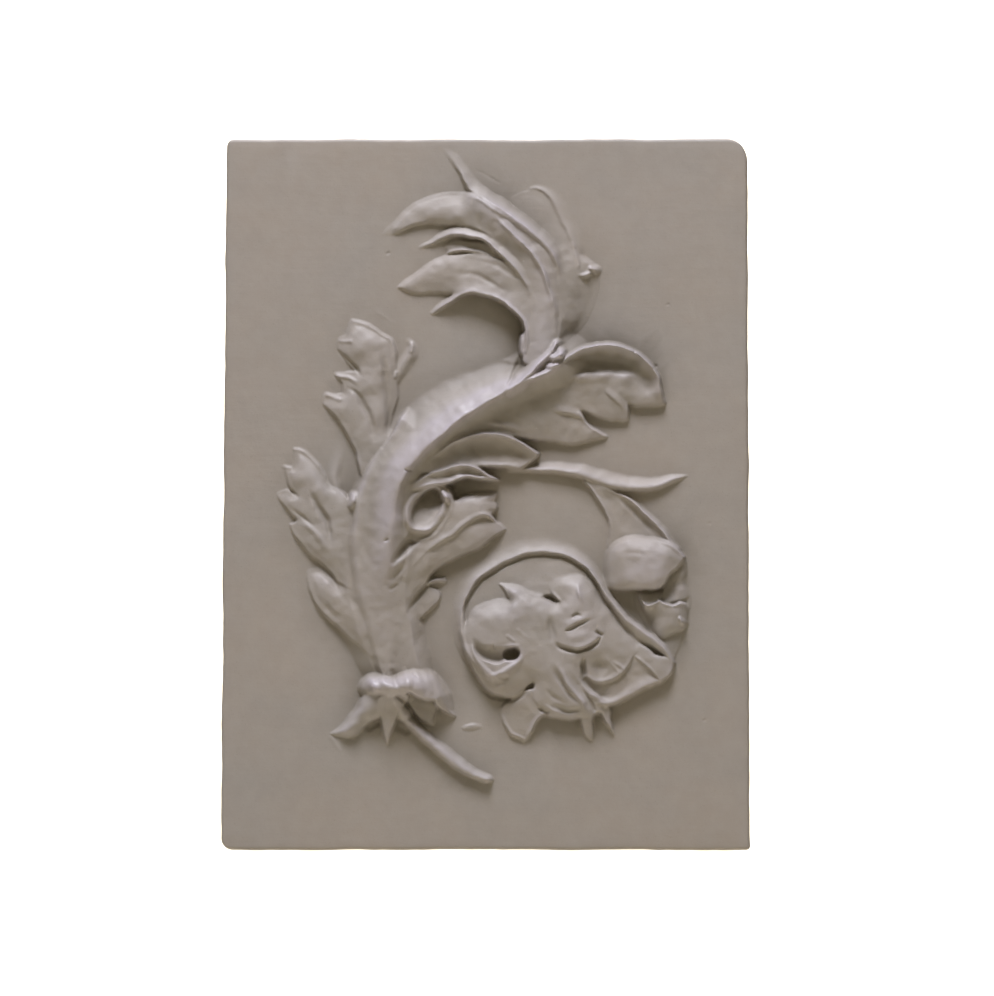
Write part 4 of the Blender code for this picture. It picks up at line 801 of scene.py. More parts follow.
def ring(clay):
    """The round tendril and its tail."""
    clay.stroke([(118.6, -106), (113.6, -97), (108, -91.6), (100, -87), (93, -81.6), (87, -75.6),
        (81, -68.4), (75.4, -60.6), (71, -53.6), (64.6, -46.6), (56, -40.8), (47, -37.4), (38, -36.4),
        (29, -37), (19, -39.4), (9.4, -43.4), (1, -48.2), (-6, -54), (-11, -61), (-14.6, -69), (-16, -78),
        (-15.6, -88), (-12.4, -98), (-7.6, -107), (-2, -114), (3, -118)],
        crest=[6, 7.4, 8, 8.2, 8.2, 8, 7.6, 7.4, 7.2, 6.6, 5.8, 5, 4.5, 4.2, 4.2, 4.2, 4.4, 4.6, 4.6, 4.6,
        5, 6, 7.4, 9, 10, 10], left=([1, 4, 6, 6, 4.6, 3.6, 3, 2.2, 1.8, 1.4, 1.3, 1.3, 1.3, 1.3, 1.3, 1.3,
        1.3, 1.3, 1.4, 1.6, 2.2, 3, 3.4, 3.6, 3.4, 3], [4, 5, 5, 5.4, 5.4, 5.2, 4.8, 4.4, 4, 3.6, 3.2, 3,
        2.8, 2.6, 2.6, 2.6, 2.8, 3, 3, 3, 3.4, 4.2, 5, 6, 6, 6], "round"),
        right=([1.2, 1.4, 1.6, 1.8, 2, 2.2, 2.4, 3, 4, 6, 8, 9.5, 10.5, 11, 11, 11, 10, 9, 8, 7, 6, 5, 4.4,
        4, 3.6, 3.2], [3.4, 4, 4, 4, 4, 3.6, 3, 2, 1, 0, 0, 0, 0, 0, 0, 0, 0, 0, 0, 0, 0, 0.4, 1, 1.6, 2,
        2.4], "scoop"), soft=0.7, wall=10)
    clay.add([(92.5, -90.5), (98, -96), (103.5, -101.5), (109, -107)], height=[-0.2, -0.8, -0.8, -0.2],
        width=1.6)
    clay.form([(92, -101.4, 6), (96, -98.6, 6), (102, -101, 6.6), (109, -101.4, 6.8), (117.6, -104.4, 5.4),
        (118.6, -109, 5), (116, -114.6, 6), (110.6, -118.6, 6.4), (110.6, -118.6, 6.4),
        (105.6, -113.4, 6.6), (100, -107.4, 6.8), (95.4, -104, 6.6)], [(108, -112, 7.4), (101, -104.6, 7)],
        edge=0.9, soft=0.6, wall=12, reach=1.6)
    clay.add([(92.4, -101.8), (97.4, -104.4), (102.6, -109.2), (107, -113.8), (110, -117.6)],
        height=[0.4, 1.2, 1.2, 1.1, 0.4], width=1.6)
    clay.stroke([(69, -133), (77, -132.6), (85, -129.6), (93, -125.6), (101, -121.2), (110.6, -117.6)],
        crest=[9, 8.4, 7.6, 7.2, 7, 6.4], right=([1, 1.4, 1.6, 1.6, 1.4, 1], [5, 4.8, 4.4, 4.2, 4.2, 4.2],
        "round"), left=([4, 5, 7, 8.5, 8, 3], [6, 5.8, 5.2, 4.8, 4.6, 4.8], "bell"), soft=0.6, wall=10)


def flower(clay):
    """The open flower inside the round tendril, over a filled ground."""
    clay.form([(-13, -76, 1.8), (-10, -66, 1.6), (-4, -57.4, 1.6), (4, -50.6, 1.6), (14, -45, 1.6),
        (26, -40.8, 1.6), (38, -39.4, 1.8), (48, -40.6, 2), (57, -44.6, 2.4), (65, -52, 3), (72, -62, 3.6),
        (80, -74, 4.2), (92, -88.6, 5.6), (104, -100, 7.2), (111, -107, 6.6), (108, -117, 5), (92, -125, 5),
        (76, -130, 5), (20, -128, 1), (-4, -116, 1), (-13, -96, 2)], [(10, -58, 2), (30, -50, 2.6),
        (50, -47, 3.2), (30, -60, 5), (75, -122, 6.8), (85, -121, 6.2), (94, -116, 5.4), (101, -117, 5)],
        edge=0.4, soft=1.5, wall=3, reach=2)
    clay.form([(-12, -80, 5), (-9, -74, 4.5), (-4, -70.4, 4.2), (2, -68, 4.4), (9, -66.8, 5),
        (15.4, -68.2, 6.5), (15.4, -68.2, 6.5), (12.6, -62.6, 5.6), (8.6, -57, 3.6), (8.6, -57, 3.6),
        (14, -56.6, 4), (20, -57.6, 5), (25, -60.4, 6), (31, -62.8, 6.6), (36, -63.6, 7), (46.6, -68.6, 8),
        (46.6, -68.6, 8), (42, -63, 6.6), (39, -57, 4.6), (41, -51.6, 3), (48, -50, 3.2), (56, -50, 3.6),
        (62, -52.4, 4.4), (68, -58.6, 5.4), (74, -67, 5.8), (81, -77, 6), (89, -87, 6), (95.6, -94.6, 6),
        (98, -98.6, 6), (94, -101.6, 7), (90.6, -107.6, 7.6), (85.6, -113.8, 8), (80, -117.8, 8),
        (74, -119.2, 8.6), (68, -118.4, 8.8), (62.6, -116, 9), (62, -120, 9), (70, -126.6, 8.6),
        (76.6, -134.6, 6.6), (68, -139, 8), (59, -141.2, 7.6), (50, -141.8, 7), (42, -140.2, 7),
        (36.4, -137.4, 7), (30, -129, 8), (29.6, -119.6, 8.4), (22, -125.2, 7), (15, -128.7, 6.4),
        (7, -126.4, 6), (-1, -121.4, 6.4), (-8, -112, 7), (-13, -100, 7), (-15, -90, 6)], [(0, -76, 9.6),
        (10, -76, 11.4), (16, -70, 10.4), (18, -62, 9.4), (27, -68, 11.4), (24, -80, 12), (38, -74, 11.6),
        (8, -88, 11.6), (28, -98, 12), (41, -86, 11.4), (38, -110, 12), (50, -105, 12.4), (45, -126, 11),
        (60, -100, 12), (54, -117, 12), (12, -119, 10), (0, -112, 10), (60, -130, 11), (78, -95, 10),
        (52, -57, 8.4), (60, -62, 11), (68, -68, 10), (50, -72, 12), (60, -74, 12.6), (72, -80, 10.8),
        (84, -96, 8.8), (70, -106, 10), (80, -108, 9)], edge=1, wall=12)
    for vein in (
        ([(36.5, -64.4), (40, -65.4), (43, -67), (45.6, -68.8)], [-2, -6, -6, -2], [1, 2, 2, 1]),
        ([(21, -57.8), (25, -61), (31, -63.2), (36, -64)], [0.2, 0.8, 0.8, 0.2], 1.6),
        ([(41.6, -61.6), (45, -65.4), (49, -70)], [0.3, 1.2, 0.2], 1.8),
        ([(59, -57), (58.6, -63), (61, -69)], [0.2, 1.4, 0.3], 2),
        ([(71, -61.5), (77, -70), (83, -79), (89, -86.6), (96, -94.6)], [-0.4, -1, -1.2, -1.2, -0.6], 2),
    ):
        clay.add(*vein)


def flower_boss(clay):
    """The boss of the flower, with a lid and a slit over it."""
    clay.add([(55.4, -78), (57.4, -76.4), (60, -77.4)], height=[-1.6, -1.8, -0.6], width=1.2)
    clay.lip([(50, -86), (54.5, -83), (60, -80.4), (66, -79)], [0.3, 1.1, 1, 0.3], 5, back=0.8)
    clay.add([(51.4, -86), (55.6, -84.6), (60, -82), (64.6, -80)], height=[-1, -1.8, -1.9, -0.8], width=1.3)
    clay.lip([(44.6, -93), (49, -95.6), (54, -97.4), (60, -97.4), (65, -95.2), (70, -92), (73.4, -88.4)],
        [0.4, 1.2, 1.6, 1.8, 1.7, 1.4, 0.5], 6, back=1)
    for vein in (
        ([(72.6, -90), (69.6, -93.4), (65, -96.8), (59.8, -98.8), (54, -98.8), (48.6, -97), (44, -94)],
         [-0.8, -2.2, -2.6, -2.4, -2.4, -1.8, -0.4], 2.2),
        ([(70.4, -87.4), (73, -88.8)], -2.6, 1.4),
        ([(42, -76), (41, -83), (42.6, -91)], [-0.2, -1.4, -0.6], 3.4),
        ([(47, -89), (56, -90.6), (67, -86.6)], [0.2, 1.6, 0.2], [4, 6, 4]),
    ):
        clay.add(*vein)


def flower_left_mouth(clay):
    """The hollow at the left of the flower, with its deep hole."""
    clay.add([(-8, -94), (-5, -99), (-1, -103.2), (4, -105), (9, -104.4), (13, -101.6)],
        height=[-1, -3.4, -4.6, -5.2, -5.2, -4.4], width=[4, 8, 12, 14, 13, 9],
        right_width=[1.4, 1.6, 1.8, 1.8, 1.8, 1.6])
    clay.stroke([(14.4, -100.6), (17, -100.4)], crest=[0, 0], left=(3.1, 4, "scoop"),
        mode="cut", soft=0.6, wall=-10)
    for vein in (
        ([(8, -96), (14, -95.4), (20.6, -95.6)], [0.2, 1.1, 0.4], 1.5),
        ([(13, -89), (18, -92.4)], 0.7, 1.3),
        ([(20, -86), (28, -91.6)], [0.5, 0.2], 1.6),
        ([(-8.6, -96), (-7, -102), (-4, -108), (0, -113), (3.4, -115), (9, -112.8), (15, -109.4),
         (20, -105.6), (23, -102)], [0.5, 1.6, 2.1, 2.3, 2.3, 2, 1.6, 1.2, 0.3],
         [1.8, 2.6, 3, 3.2, 3.2, 3, 2.6, 2.2, 1.6], [1.6, 1.8, 2, 3, 5, 6, 6, 4, 3]),
        ([(8, -115), (13, -115.6)], -1, 2),
        ([(8, -121.4), (11, -121)], 0.8, 1.8),
    ):
        clay.add(*vein)


def flower_bottom_petal(clay):
    """The petal that hangs below the flower."""
    clay.form([(24.4, -156, 1.6), (24.4, -156, 1.6), (28.4, -150, 3.6), (31.6, -144.4, 5), (35, -140, 6),
        (38, -138, 7), (38, -128, 8), (28, -123, 7.6), (18, -128, 4.6), (10, -134, 1.8), (9, -141, 1.2),
        (12.4, -148.4, 2), (18, -153.8, 2)], [(24, -136, 5), (20, -146, 3), (28, -138, 5.6)],
        edge=0.8, soft=1.5, wall=9, reach=2)
    clay.add([(9.6, -140), (12.6, -147), (17.6, -152.4), (23.6, -155.4)], height=[0.6, 1.2, 1.3, 0.8],
        width=1.5)
    clay.lip([(24.4, -155.4), (28.4, -149.6), (31.8, -143.8), (36, -138.6)], [0.3, 1.2, 1.2, 0.5], 3)
    for vein in (
        ([(34, -135.4), (38.4, -137.4)], -2.4, 1.6),
        ([(-3, -122.8), (4, -127.2), (11, -130), (16, -130.6), (22, -127.6), (28, -122)],
         [-0.3, -1.2, -1.4, -1.4, -1.2, -0.4], 1.8),
    ):
        clay.add(*vein)


def flower_claws(clay):
    """The flower's lower border, and the folds that run down to its two claws."""
    for vein in (
        ([(43, -108), (44.4, -113), (48.6, -121), (53, -127), (59, -132)], [-0.2, -1.6, -1.8, -1.4, -0.2],
         2.6),
        ([(46, -108), (49, -116), (54, -123.4), (60, -130), (64, -139)], [0.2, 1.2, 1.6, 1.8, 0.6], 2.6),
        ([(56, -114), (63, -123), (70, -129), (77, -135)], [0.2, 1.4, 1.6, 0.8], 2.6),
        ([(60, -121), (65, -128), (68.6, -136)], [-0.2, -1.4, -1.8], 1.8),
        ([(36, -132.6), (41.6, -136), (47, -139.4)], [0.2, 1.2, 0.4], 1.6),
        ([(44, -134.6), (51, -137), (58, -136.6)], [-0.4, -2, -1.2], 2.6),
        ([(38, -124), (44, -129), (50, -133)], [-0.2, -1, -0.2], 2.4),
    ):
        clay.add(*vein)
    clay.form([(60, -134, 8), (60.4, -141, 6.6), (61.6, -148, 4.4), (64, -153, 2.6), (67.4, -156, 1.4),
        (67.4, -156, 1.4), (67.6, -149, 4), (67.6, -143, 6), (68, -136, 8)], [(64, -143, 7)],
        edge=0.8, wall=10)
    clay.form([(70, -134, 8), (73.4, -139, 7), (76, -144.6, 5.4), (81.8, -153.6, 1.6), (81.8, -153.6, 1.6),
        (79.4, -146.6, 3.6), (78.6, -140, 5.4), (78.4, -135.4, 6), (74, -130, 8)], edge=0.8, wall=10)


def flower_right_petal(clay):
    """The right petal, which curls over its mouth."""
    clay.lip([(62.6, -116), (68, -118.4), (74, -119.2), (79.8, -117.8), (85.4, -114), (90, -108.6),
        (92.6, -104)], [0.6, 1, 1.2, 1.2, 1.2, 1, 0.4], 4, back=0.8)
    for vein in (
        ([(62.4, -104), (61.2, -108.6), (61, -114)], [-0.6, -4, -3.2], [1.4, 3.4, 3.6], 1.2),
        ([(70, -103), (72, -109), (76, -114)], [-0.4, -2.4, -0.6], 7),
    ):
        clay.add(*vein)
    clay.lip([(80, -106), (84.4, -109.4), (88.5, -113)], [0.2, 1, 0.3], 2.4, back=0.9)
    clay.add([(76.4, -103), (83, -112.6)], height=[0.2, 0.7], width=1.2)


def husk(clay):
    """The husk of the stem with its cap, sepals and cut stem."""
    for vein in (
        ([(-69, -145), (-74, -148)], -1.6, 4),
        ([(-55, -147), (-50, -150)], -1.6, 4),
    ):
        clay.add(*vein)
    clay.stroke([(-54, -139), (-49, -144.4), (-43, -150.4), (-35.6, -157.2), (-27, -164.4), (-17.4, -171.6),
        (-8.6, -177), (0, -180.6)], crest=[8, 7.6, 7.2, 6.8, 6.6, 6.4, 6.2, 5.6],
        left=([3.6, 4.4, 5, 5.2, 5, 4.8, 4.4, 4], 0.6, "round"),
        right=([2.4, 2.4, 2.4, 2.4, 2.4, 2.2, 2, 1.8], [2, 2, 2, 2, 2, 2, 2, 1.6], "dome"),
        soft=0.8, wall=10)
    clay.form([(-98.6, -151.4, 1.2), (-98.6, -151.4, 1.2), (-92, -146, 1), (-87, -140, 1.2),
        (-82.6, -135, 2.4), (-77, -127, 8), (-64, -124, 14), (-64, -136, 11), (-67.6, -141.6, 7),
        (-71.6, -143.4, 5), (-76, -146.8, 4.4), (-81, -151.4, 3.6), (-86.6, -154, 2.8), (-93, -152.6, 1.8)],
        [(-90, -149, 5.4), (-84, -145, 7.4), (-80, -137, 7.6), (-74, -138, 9.6)],
        edge=1, wall=10, reach=2.4)
    clay.form([(-62, -158, 2), (-62, -158, 2), (-64.6, -151, 5), (-66.4, -143, 8), (-68, -128, 14),
        (-50, -126, 14), (-55.4, -139, 10), (-58.2, -146, 7), (-60.4, -152.6, 4.4)], [(-61.6, -147, 8),
        (-60, -134, 12)], edge=1, wall=12)
    clay.form([(-32.6, -146.6, 1), (-32.6, -146.6, 1), (-39, -145, 2), (-45, -140.4, 3.6), (-52, -130, 7),
        (-38, -122, 8), (-28, -128, 5), (-31.6, -138, 2.4)], [(-40, -135, 4.4), (-36, -141, 3.4)],
        edge=0.8, wall=6)
    clay.add([(-56, -127.4), (-52, -131.6), (-48, -137.2), (-43.6, -142.2), (-37.6, -145.4), (-33, -146.4)],
        height=[-2, -4, -3.6, -2.8, -2, -0.4], width=[1.4, 2, 2, 2, 1.6, 1.2])
    clay.stroke([(-59, -126), (-56.6, -133), (-52, -140)], crest=[14.5, 12.5, 10], left=(4, 6, "round"),
        right=(3.4, 7, "bell"), soft=1.5)
    clay.form([(-81, -125, 3), (-80, -119, 4.4), (-76, -114.6, 5.6), (-70, -113, 6.6), (-60, -112.6, 7.6),
        (-54, -110.6, 7), (-47, -108.2, 5.4), (-40, -108.8, 4.4), (-33, -112.6, 3.4), (-27, -118.8, 3),
        (-22.6, -127, 2.6), (-19, -140.6, 1.6), (-19, -140.6, 1.6), (-25.6, -137, 6.4), (-31.4, -133.4, 10),
        (-32.6, -130.4, 12.6), (-38, -129.6, 14.4), (-45, -127.2, 16), (-50, -124.8, 17), (-56, -126.4, 16),
        (-62, -127.6, 15), (-70, -127.6, 12), (-76, -129, 8)], [(-74, -121, 13.5), (-66, -119, 16.5),
        (-60, -120.6, 18.2), (-54, -119, 17.6), (-47, -115, 14.6), (-38, -117, 13), (-30, -124, 10),
        (-26, -131, 7.6), (-66, -124.6, 16), (-56, -124, 17.6), (-48, -121.6, 17.8), (-40, -124.6, 16),
        (-34, -127.6, 13)], edge=1.1, wall=11, soft=1)
    for vein in (
        ([(-74, -117), (-70, -123)], 1.2, 4),
        ([(-66, -115), (-62, -123)], [0.9, 0.4], 3.4),
        ([(-59.5, -112), (-58, -117), (-55, -122)], [-0.8, -1.4, -0.4], 2.6),
        ([(-52, -112), (-49.6, -118), (-50, -124)], [0.7, 1.3, 1.2], [3, 4, 3]),
        ([(-43, -110), (-40, -117), (-38, -125)], [-0.4, -0.9, -0.4], 3),
        ([(-35, -113), (-31, -121), (-27, -131)], [0.4, 1, 0.5], 3.4),
        ([(-46, -113.5), (-44, -115.5)], -1, 1.3),
        ([(-37, -112.6), (-36, -114)], -0.9, 1.1),
    ):
        clay.add(*vein)


def slab_marks(clay):
    """A small flake, pits of air bubbles and three scratches on the ground of the slab."""
    clay.stroke([(-13.4, -147), (-8, -146), (-3, -147)], crest=[1, 1.3, 0.5], left=(1.6, 0, "bell"),
        right=([2, 3.2, 1], 0.7, "bell"), wall=3)
    for x, z, across, up, depth in (
        (-49, 15.6, 2.8, 1.2, 2.4),
        (-63.6, -29.8, 1.3, 0.9, 1.8),
        (-62, 152, 1.2, 0.9, 0.8),
        (115, 120, 1, 0.8, 0.6),
        (141, -18, 1, 0.8, 0.6),
        (138, -143, 1.2, 0.8, 0.7),
        (47, -150.6, 1.6, 0.7, 0.5),
    ):
        clay.add([(x - across / 2, z), (x + across / 2, z + 0.5)], -depth, up)
    for scratch in (
        ([(-98, -154), (-92, -161.5)], [0.5, 0.3], 1.4),
        ([(-6, 205), (8, 198)], [-0.2, -0.35], 1.2),
        ([(-69, 115), (-58, 109)], [0.25, 0.1], 1.6),
    ):
        clay.add(*scratch)


def carve():
    """The whole relief, from what lies lowest to what lies over it, then softened and a little unsteady."""
    clay = Relief()
    for sub_part in (
        low_mass, left_low, left_mid, left_top, body, right_leaf, top_leaf, upper_lobe, fine_ridge,
        spine_and_horn, cavity_lip, inner_lobe, cavity_rims, ear_and_knot, throat, scoop_leaf,
        right_fingers, small_leaf, eye, tendrils, bell, ring, flower, flower_boss,
        flower_left_mouth, flower_bottom_petal, flower_claws, flower_right_petal, husk, slab_marks,
    ):
        sub_part(clay)
    share = LOW_SHARE + (1 - LOW_SHARE) * np.clip(clay.h, 0, None) / FULL_HEIGHT
    clay.h = softened(clay.h * share, TOOL_SOFTNESS)
    x, z = np.meshgrid(clay.x, clay.z)
    clay.h = clay.read(x + hand_waver(x, z, 41), z + hand_waver(x, z, 42))
    return clay


def wavy(x, z, seed, cell):
    """Smooth seeded unevenness between about -1 and 1, with lumps the size of the cell in millimetres."""
    count = int(NOISE_SPAN / cell) + 4
    noise = np.random.default_rng(seed).uniform(-1, 1, (count, count))
    u = (x + NOISE_START) / cell
    v = (z + NOISE_START) / cell
    i = u.astype(int)
    j = v.astype(int)
    fu = u - i
    fv = v - j
    total = np.zeros(np.shape(x))
    for row, share_v in enumerate(bump_weights(fv)):
        for column, share_u in enumerate(bump_weights(fu)):
            total = total + noise[j + row, i + column] * share_v * share_u
    return total * NOISE_GAIN


def uneven(x, z, seed, kind):
    """One kind of unevenness, given by how much of it there is and by the size of its lumps."""
    amount, cell = kind
    return amount * wavy(x, z, seed, cell)


def hand_waver(x, z, seed):
    """How far the carver's line strays along one axis."""
    return HAND_WAVER * (wavy(x, z, seed, HAND_CELL) + uneven(x, z, seed + 2, HAND_FINE))


def edge_waver(x, z, seed):
    """How far the edge of the slab stands out along one axis."""
    return EDGE_OUT + uneven(x, z, seed, EDGE_WAVER) + uneven(x, z, seed + 2, EDGE_NICKS)


def bump_weights(f):
    """Weights of the four nearest rows of a smooth blend."""
    return (1 - f) ** 3 / 6, (3 * f**3 - 6 * f**2 + 4) / 6, (-3 * f**3 + 3 * f**2 + 3 * f + 1) / 6, f**3 / 6


def face_points(relief):
    """Rows of points over the face, bottom to top, drawn in at the rounded corners and at the edges."""
    half_height = PANEL_HEIGHT / 2
    half_width = (RIGHT_AT_BOTTOM - LEFT_AT_BOTTOM) / 2
    near_edge = np.array(EDGE_ROWS)
    lines = []
    for half in (half_width, half_height):
        count = round((2 * half - 2 * EDGE_BAND) / FACE_STEP)
        inner = np.linspace(-half + EDGE_BAND, half - EDGE_BAND, count)
        lines.append(np.concatenate([-half + near_edge, inner, half - near_edge[::-1]]))
    x, z = np.meshgrid(*lines)
    border = np.minimum(half_width - np.abs(x), half_height - np.abs(z))
    for name, radius in CORNER_RADIUS.items():
        up = 1 if name.startswith("top") else -1
        right = 1 if name.endswith("right") else -1
        across = np.clip((x * right - half_width + radius) / radius, 0, 1)
        along = np.clip((z * up - half_height + radius) / radius, 0, 1)
        x = x - right * radius * across * (1 - np.sqrt(1 - along**2 / 2))
        z = z - up * radius * along * (1 - np.sqrt(1 - across**2 / 2))
    share = (z + half_height) / PANEL_HEIGHT
    left = LEFT_AT_BOTTOM + (LEFT_AT_TOP - LEFT_AT_BOTTOM) * share
    right = RIGHT_AT_BOTTOM + (RIGHT_AT_TOP - RIGHT_AT_BOTTOM) * share
    x = left + (right - left) * (x + half_width) / (2 * half_width)
    near = np.clip(1 - border / EDGE_WAVER_BAND, 0, 1)
    x = x + np.sign(x) * near * edge_waver(x, z, 11)
    z = z + np.sign(z) * near * edge_waver(x, z, 12)
    rounding = np.clip(1 - border / EDGE_ROUNDING, 0, 1)
    drop = EDGE_ROUNDING * (1 - np.sqrt(1 - rounding**2))
    height = relief.read(x, z)
    x = x - (x - EYE_X) * height / EYE_DISTANCE
    z = z - (z - EYE_Z) * height / EYE_DISTANCE
    carved = np.clip(height / CARVING_FROM, 0, 1)
    height = height + carved * (uneven(x, z, 21, CARVING_LUMPS) + uneven(x, z, 22, CARVING_FINE_LUMPS))
    swell = uneven(x, z, 31, GROUND_SWELL) * (1 - SWELL_LOST_ON_CARVING * carved)
    height = height + swell - FACE_SET_BACK
    return np.stack([x, -(SLAB_DEPTH + height - drop), z], -1) * MM


def closed_slab(front):
    """A closed mesh from the rows of front points: walls back to y = 0 in rings, and a flat back."""
    rows, columns = front.shape[:2]
    index = np.arange(rows * columns).reshape(rows, columns)
    quads = np.stack([index[:-1, :-1], index[:-1, 1:], index[1:, 1:], index[1:, :-1]], -1).reshape(-1, 4)
    faces = quads.tolist()
    rim = np.concatenate([index[0, :-1], index[:-1, -1], index[-1, :0:-1], index[:0:-1, 0]])
    points = [front.reshape(-1, 3)]
    edge = points[0][rim]
    ring = rim
    total = len(points[0])
    for depth, inset in rows_of_back():
        behind = edge.copy()
        behind[:, 1] = edge[:, 1] * depth
        behind[:, 0] -= np.sign(edge[:, 0]) * inset * MM
        behind[:, 2] -= np.sign(edge[:, 2]) * inset * MM
        points.append(behind)
        next_ring = np.arange(len(rim)) + total
        total += len(rim)
        walls = np.stack([np.roll(ring, -1), ring, next_ring, np.roll(next_ring, -1)], -1)
        faces.extend(walls.tolist())
        ring = next_ring
    faces.append(ring[::-1].tolist())
    mesh = bpy.data.meshes.new("plaster_relief")
    mesh.from_pydata(np.vstack(points).tolist(), [], faces)
    mesh.update()
    return mesh


def rows_of_back():
    """How far back each ring of the wall lies, as a share of the depth, and how far it is drawn in, in mm."""
    rings = [(share, 0.0) for share in WALL_ROWS]
    for step in BACK_ROWS:
        turn = math.radians(step)
        inset = BACK_ROUNDING * (1 - math.cos(turn))
        rings.append((BACK_ROUNDING / WALL_DEPTH * (1 - math.sin(turn)), inset))
    return rings


def thinned(mesh):
    """The same closed mesh with fewer triangles where the surface is plain."""
    scratch = bpy.data.objects.new("thinned", mesh)
    bpy.context.collection.objects.link(scratch)
    fewer = scratch.modifiers.new("fewer", "DECIMATE")
    fewer.ratio = TRIANGLES / (2 * len(mesh.polygons))
    fewer.use_collapse_triangulate = True
    graph = bpy.context.evaluated_depsgraph_get()
    result = bpy.data.meshes.new_from_object(scratch.evaluated_get(graph))
    result.name = "plaster_relief"
    bpy.data.objects.remove(scratch)
    return result


def stands_out(layer, kind):
    """How far each spot rises over the mean around it, as a share of the difference that counts in full."""
    radius, full = kind
    return (layer - softened(layer, radius)) / full


def mark_shade_and_highlight(mesh, relief):
    """Two layers that the plaster reads: the hollows, for olive wash and painted shade, and the crests and
    swells, for a painted highlight and a smoother polish.
    """
    points = np.zeros(len(mesh.vertices) * 3)
    mesh.vertices.foreach_get("co", points)
    x, y, z = points.reshape(-1, 3).T / MM
    front = y < -SLAB_DEPTH + SHADE_AND_HIGHLIGHT_REACH
    height = np.maximum(-y - SLAB_DEPTH, 0)
    x = EYE_X + (x - EYE_X) / (1 - height / EYE_DISTANCE)
    z = EYE_Z + (z - EYE_Z) / (1 - height / EYE_DISTANCE)
    # painted shade: how far each spot lies below the mean around it, near and wide
    narrow = np.clip(-stands_out(relief.h, NARROW_HOLLOW), 0, 1)
    wide = np.clip(-stands_out(relief.h, WIDE_HOLLOW), 0, 1)
    # painted highlight: crests and broad swells, stronger on the taller carving
    crest = np.clip(stands_out(relief.h, HIGHLIGHT_CREST), 0, 1)
    swell = np.clip(stands_out(relief.h, HIGHLIGHT_SWELL), 0, MOST_SWELL)
    proud = np.clip((relief.h - HIGHLIGHT_FROM) / HIGHLIGHT_OVER, LEAST_HIGHLIGHT, 1)
    highlight_and_polish = np.maximum(crest * np.sqrt(proud), swell * proud)
    for name, layer in (("hollow", np.maximum(narrow, wide)), ("highlight_and_polish", highlight_and_polish)):
        values = relief.read(x, z, softened(layer, SHADE_AND_HIGHLIGHT_SOFTNESS))
        values = np.where(front, values, 0).astype(np.float32)
        mesh.attributes.new(name, "FLOAT", "POINT").data.foreach_set("value", values)


class Nodes:
    """The nodes of one material, with short ways to add and link them."""

    def __init__(self, material):
        material.use_nodes = True
        self.tree = material.node_tree
        self.shader = self.tree.nodes["Principled BSDF"]

    def give(self, socket, value):
        """Sets a socket to a plain value, or links another node's output to it."""
        if isinstance(value, (int, float, tuple)):
            socket.default_value = value
        else:
            self.tree.links.new(value, socket)

    def mixed(self, low, high, factor):
        """A colour between two others."""
        mix = self.tree.nodes.new("ShaderNodeMix")
        mix.data_type = "RGBA"
        self.give(mix.inputs[6], low)
        self.give(mix.inputs[7], high)
        self.give(mix.inputs[0], factor)
        return mix.outputs[2]

    def scaled(self, source, low, high, to_low=0.0, to_high=1.0):
        """A value carried over from the range between low and high to another range, and held in it."""
        ranged = self.tree.nodes.new("ShaderNodeMapRange")
        for place, value in enumerate((source, low, high, to_low, to_high)):
            self.give(ranged.inputs[place], value)
        return ranged.outputs[0]

    def noise(self, size, detail=3.0, stretch=(1.0, 1.0, 1.0), turn=0.0):
        """Lumps of a size in millimetres, which can be stretched and turned on the face."""
        coordinates = self.tree.nodes.new("ShaderNodeTexCoord")
        mapping = self.tree.nodes.new("ShaderNodeMapping")
        self.give(mapping.inputs["Vector"], coordinates.outputs["Object"])
        self.give(mapping.inputs["Scale"], stretch)
        self.give(mapping.inputs["Rotation"], (0, math.radians(turn), 0))
        lumps = self.tree.nodes.new("ShaderNodeTexNoise")
        self.give(lumps.inputs["Vector"], mapping.outputs["Vector"])
        self.give(lumps.inputs["Scale"], 1 / (size * MM))
        self.give(lumps.inputs["Detail"], detail)
        self.give(lumps.inputs["Roughness"], NOISE_ROUGHNESS)
        return lumps.outputs["Fac"]

    def layer(self, name):
        """A layer of values kept with the mesh."""
        attribute = self.tree.nodes.new("ShaderNodeAttribute")
        attribute.attribute_name = name
        return attribute.outputs["Fac"]

    def maths(self, operation, first, second):
        """One sum or product of two values."""
        made = self.tree.nodes.new("ShaderNodeMath")
        made.operation = operation
        self.give(made.inputs[0], first)
        self.give(made.inputs[1], second)
        return made.outputs[0]


def plaster_colour(nodes, hollow, highlight_and_polish):
    """Warm grey in clouds, with a pale mottle and dark specks, painted olive shade in the hollows and a pale
    lilac painted highlight on crests and swells.
    """
    clouds = nodes.scaled(nodes.noise(CLOUD_SIZE, 4.0), 0.3, 0.7)
    mottle = nodes.scaled(nodes.noise(MOTTLE_SIZE, 5.0), 0.35, 0.65)
    specks = nodes.scaled(nodes.noise(SPECK_SIZE, 2.0), 0.62, 0.75)
    colour = nodes.mixed(PLASTER_GREY, PLASTER_WARM, clouds)
    for tint, where, share in (
        (PLASTER_PALE, mottle, PALE_SHARE),
        (PLASTER_WASH_AND_SHADE, specks, SPECK_SHARE),
        # painted shade: the hollows are darkened with the olive colour
        (PLASTER_WASH_AND_SHADE, hollow, HOLLOW_SHARE),
        (PLASTER_HIGHLIGHT, highlight_and_polish, HIGHLIGHT_SHARE),
    ):
        colour = nodes.mixed(colour, tint, nodes.maths("MULTIPLY", where, share))
    return colour


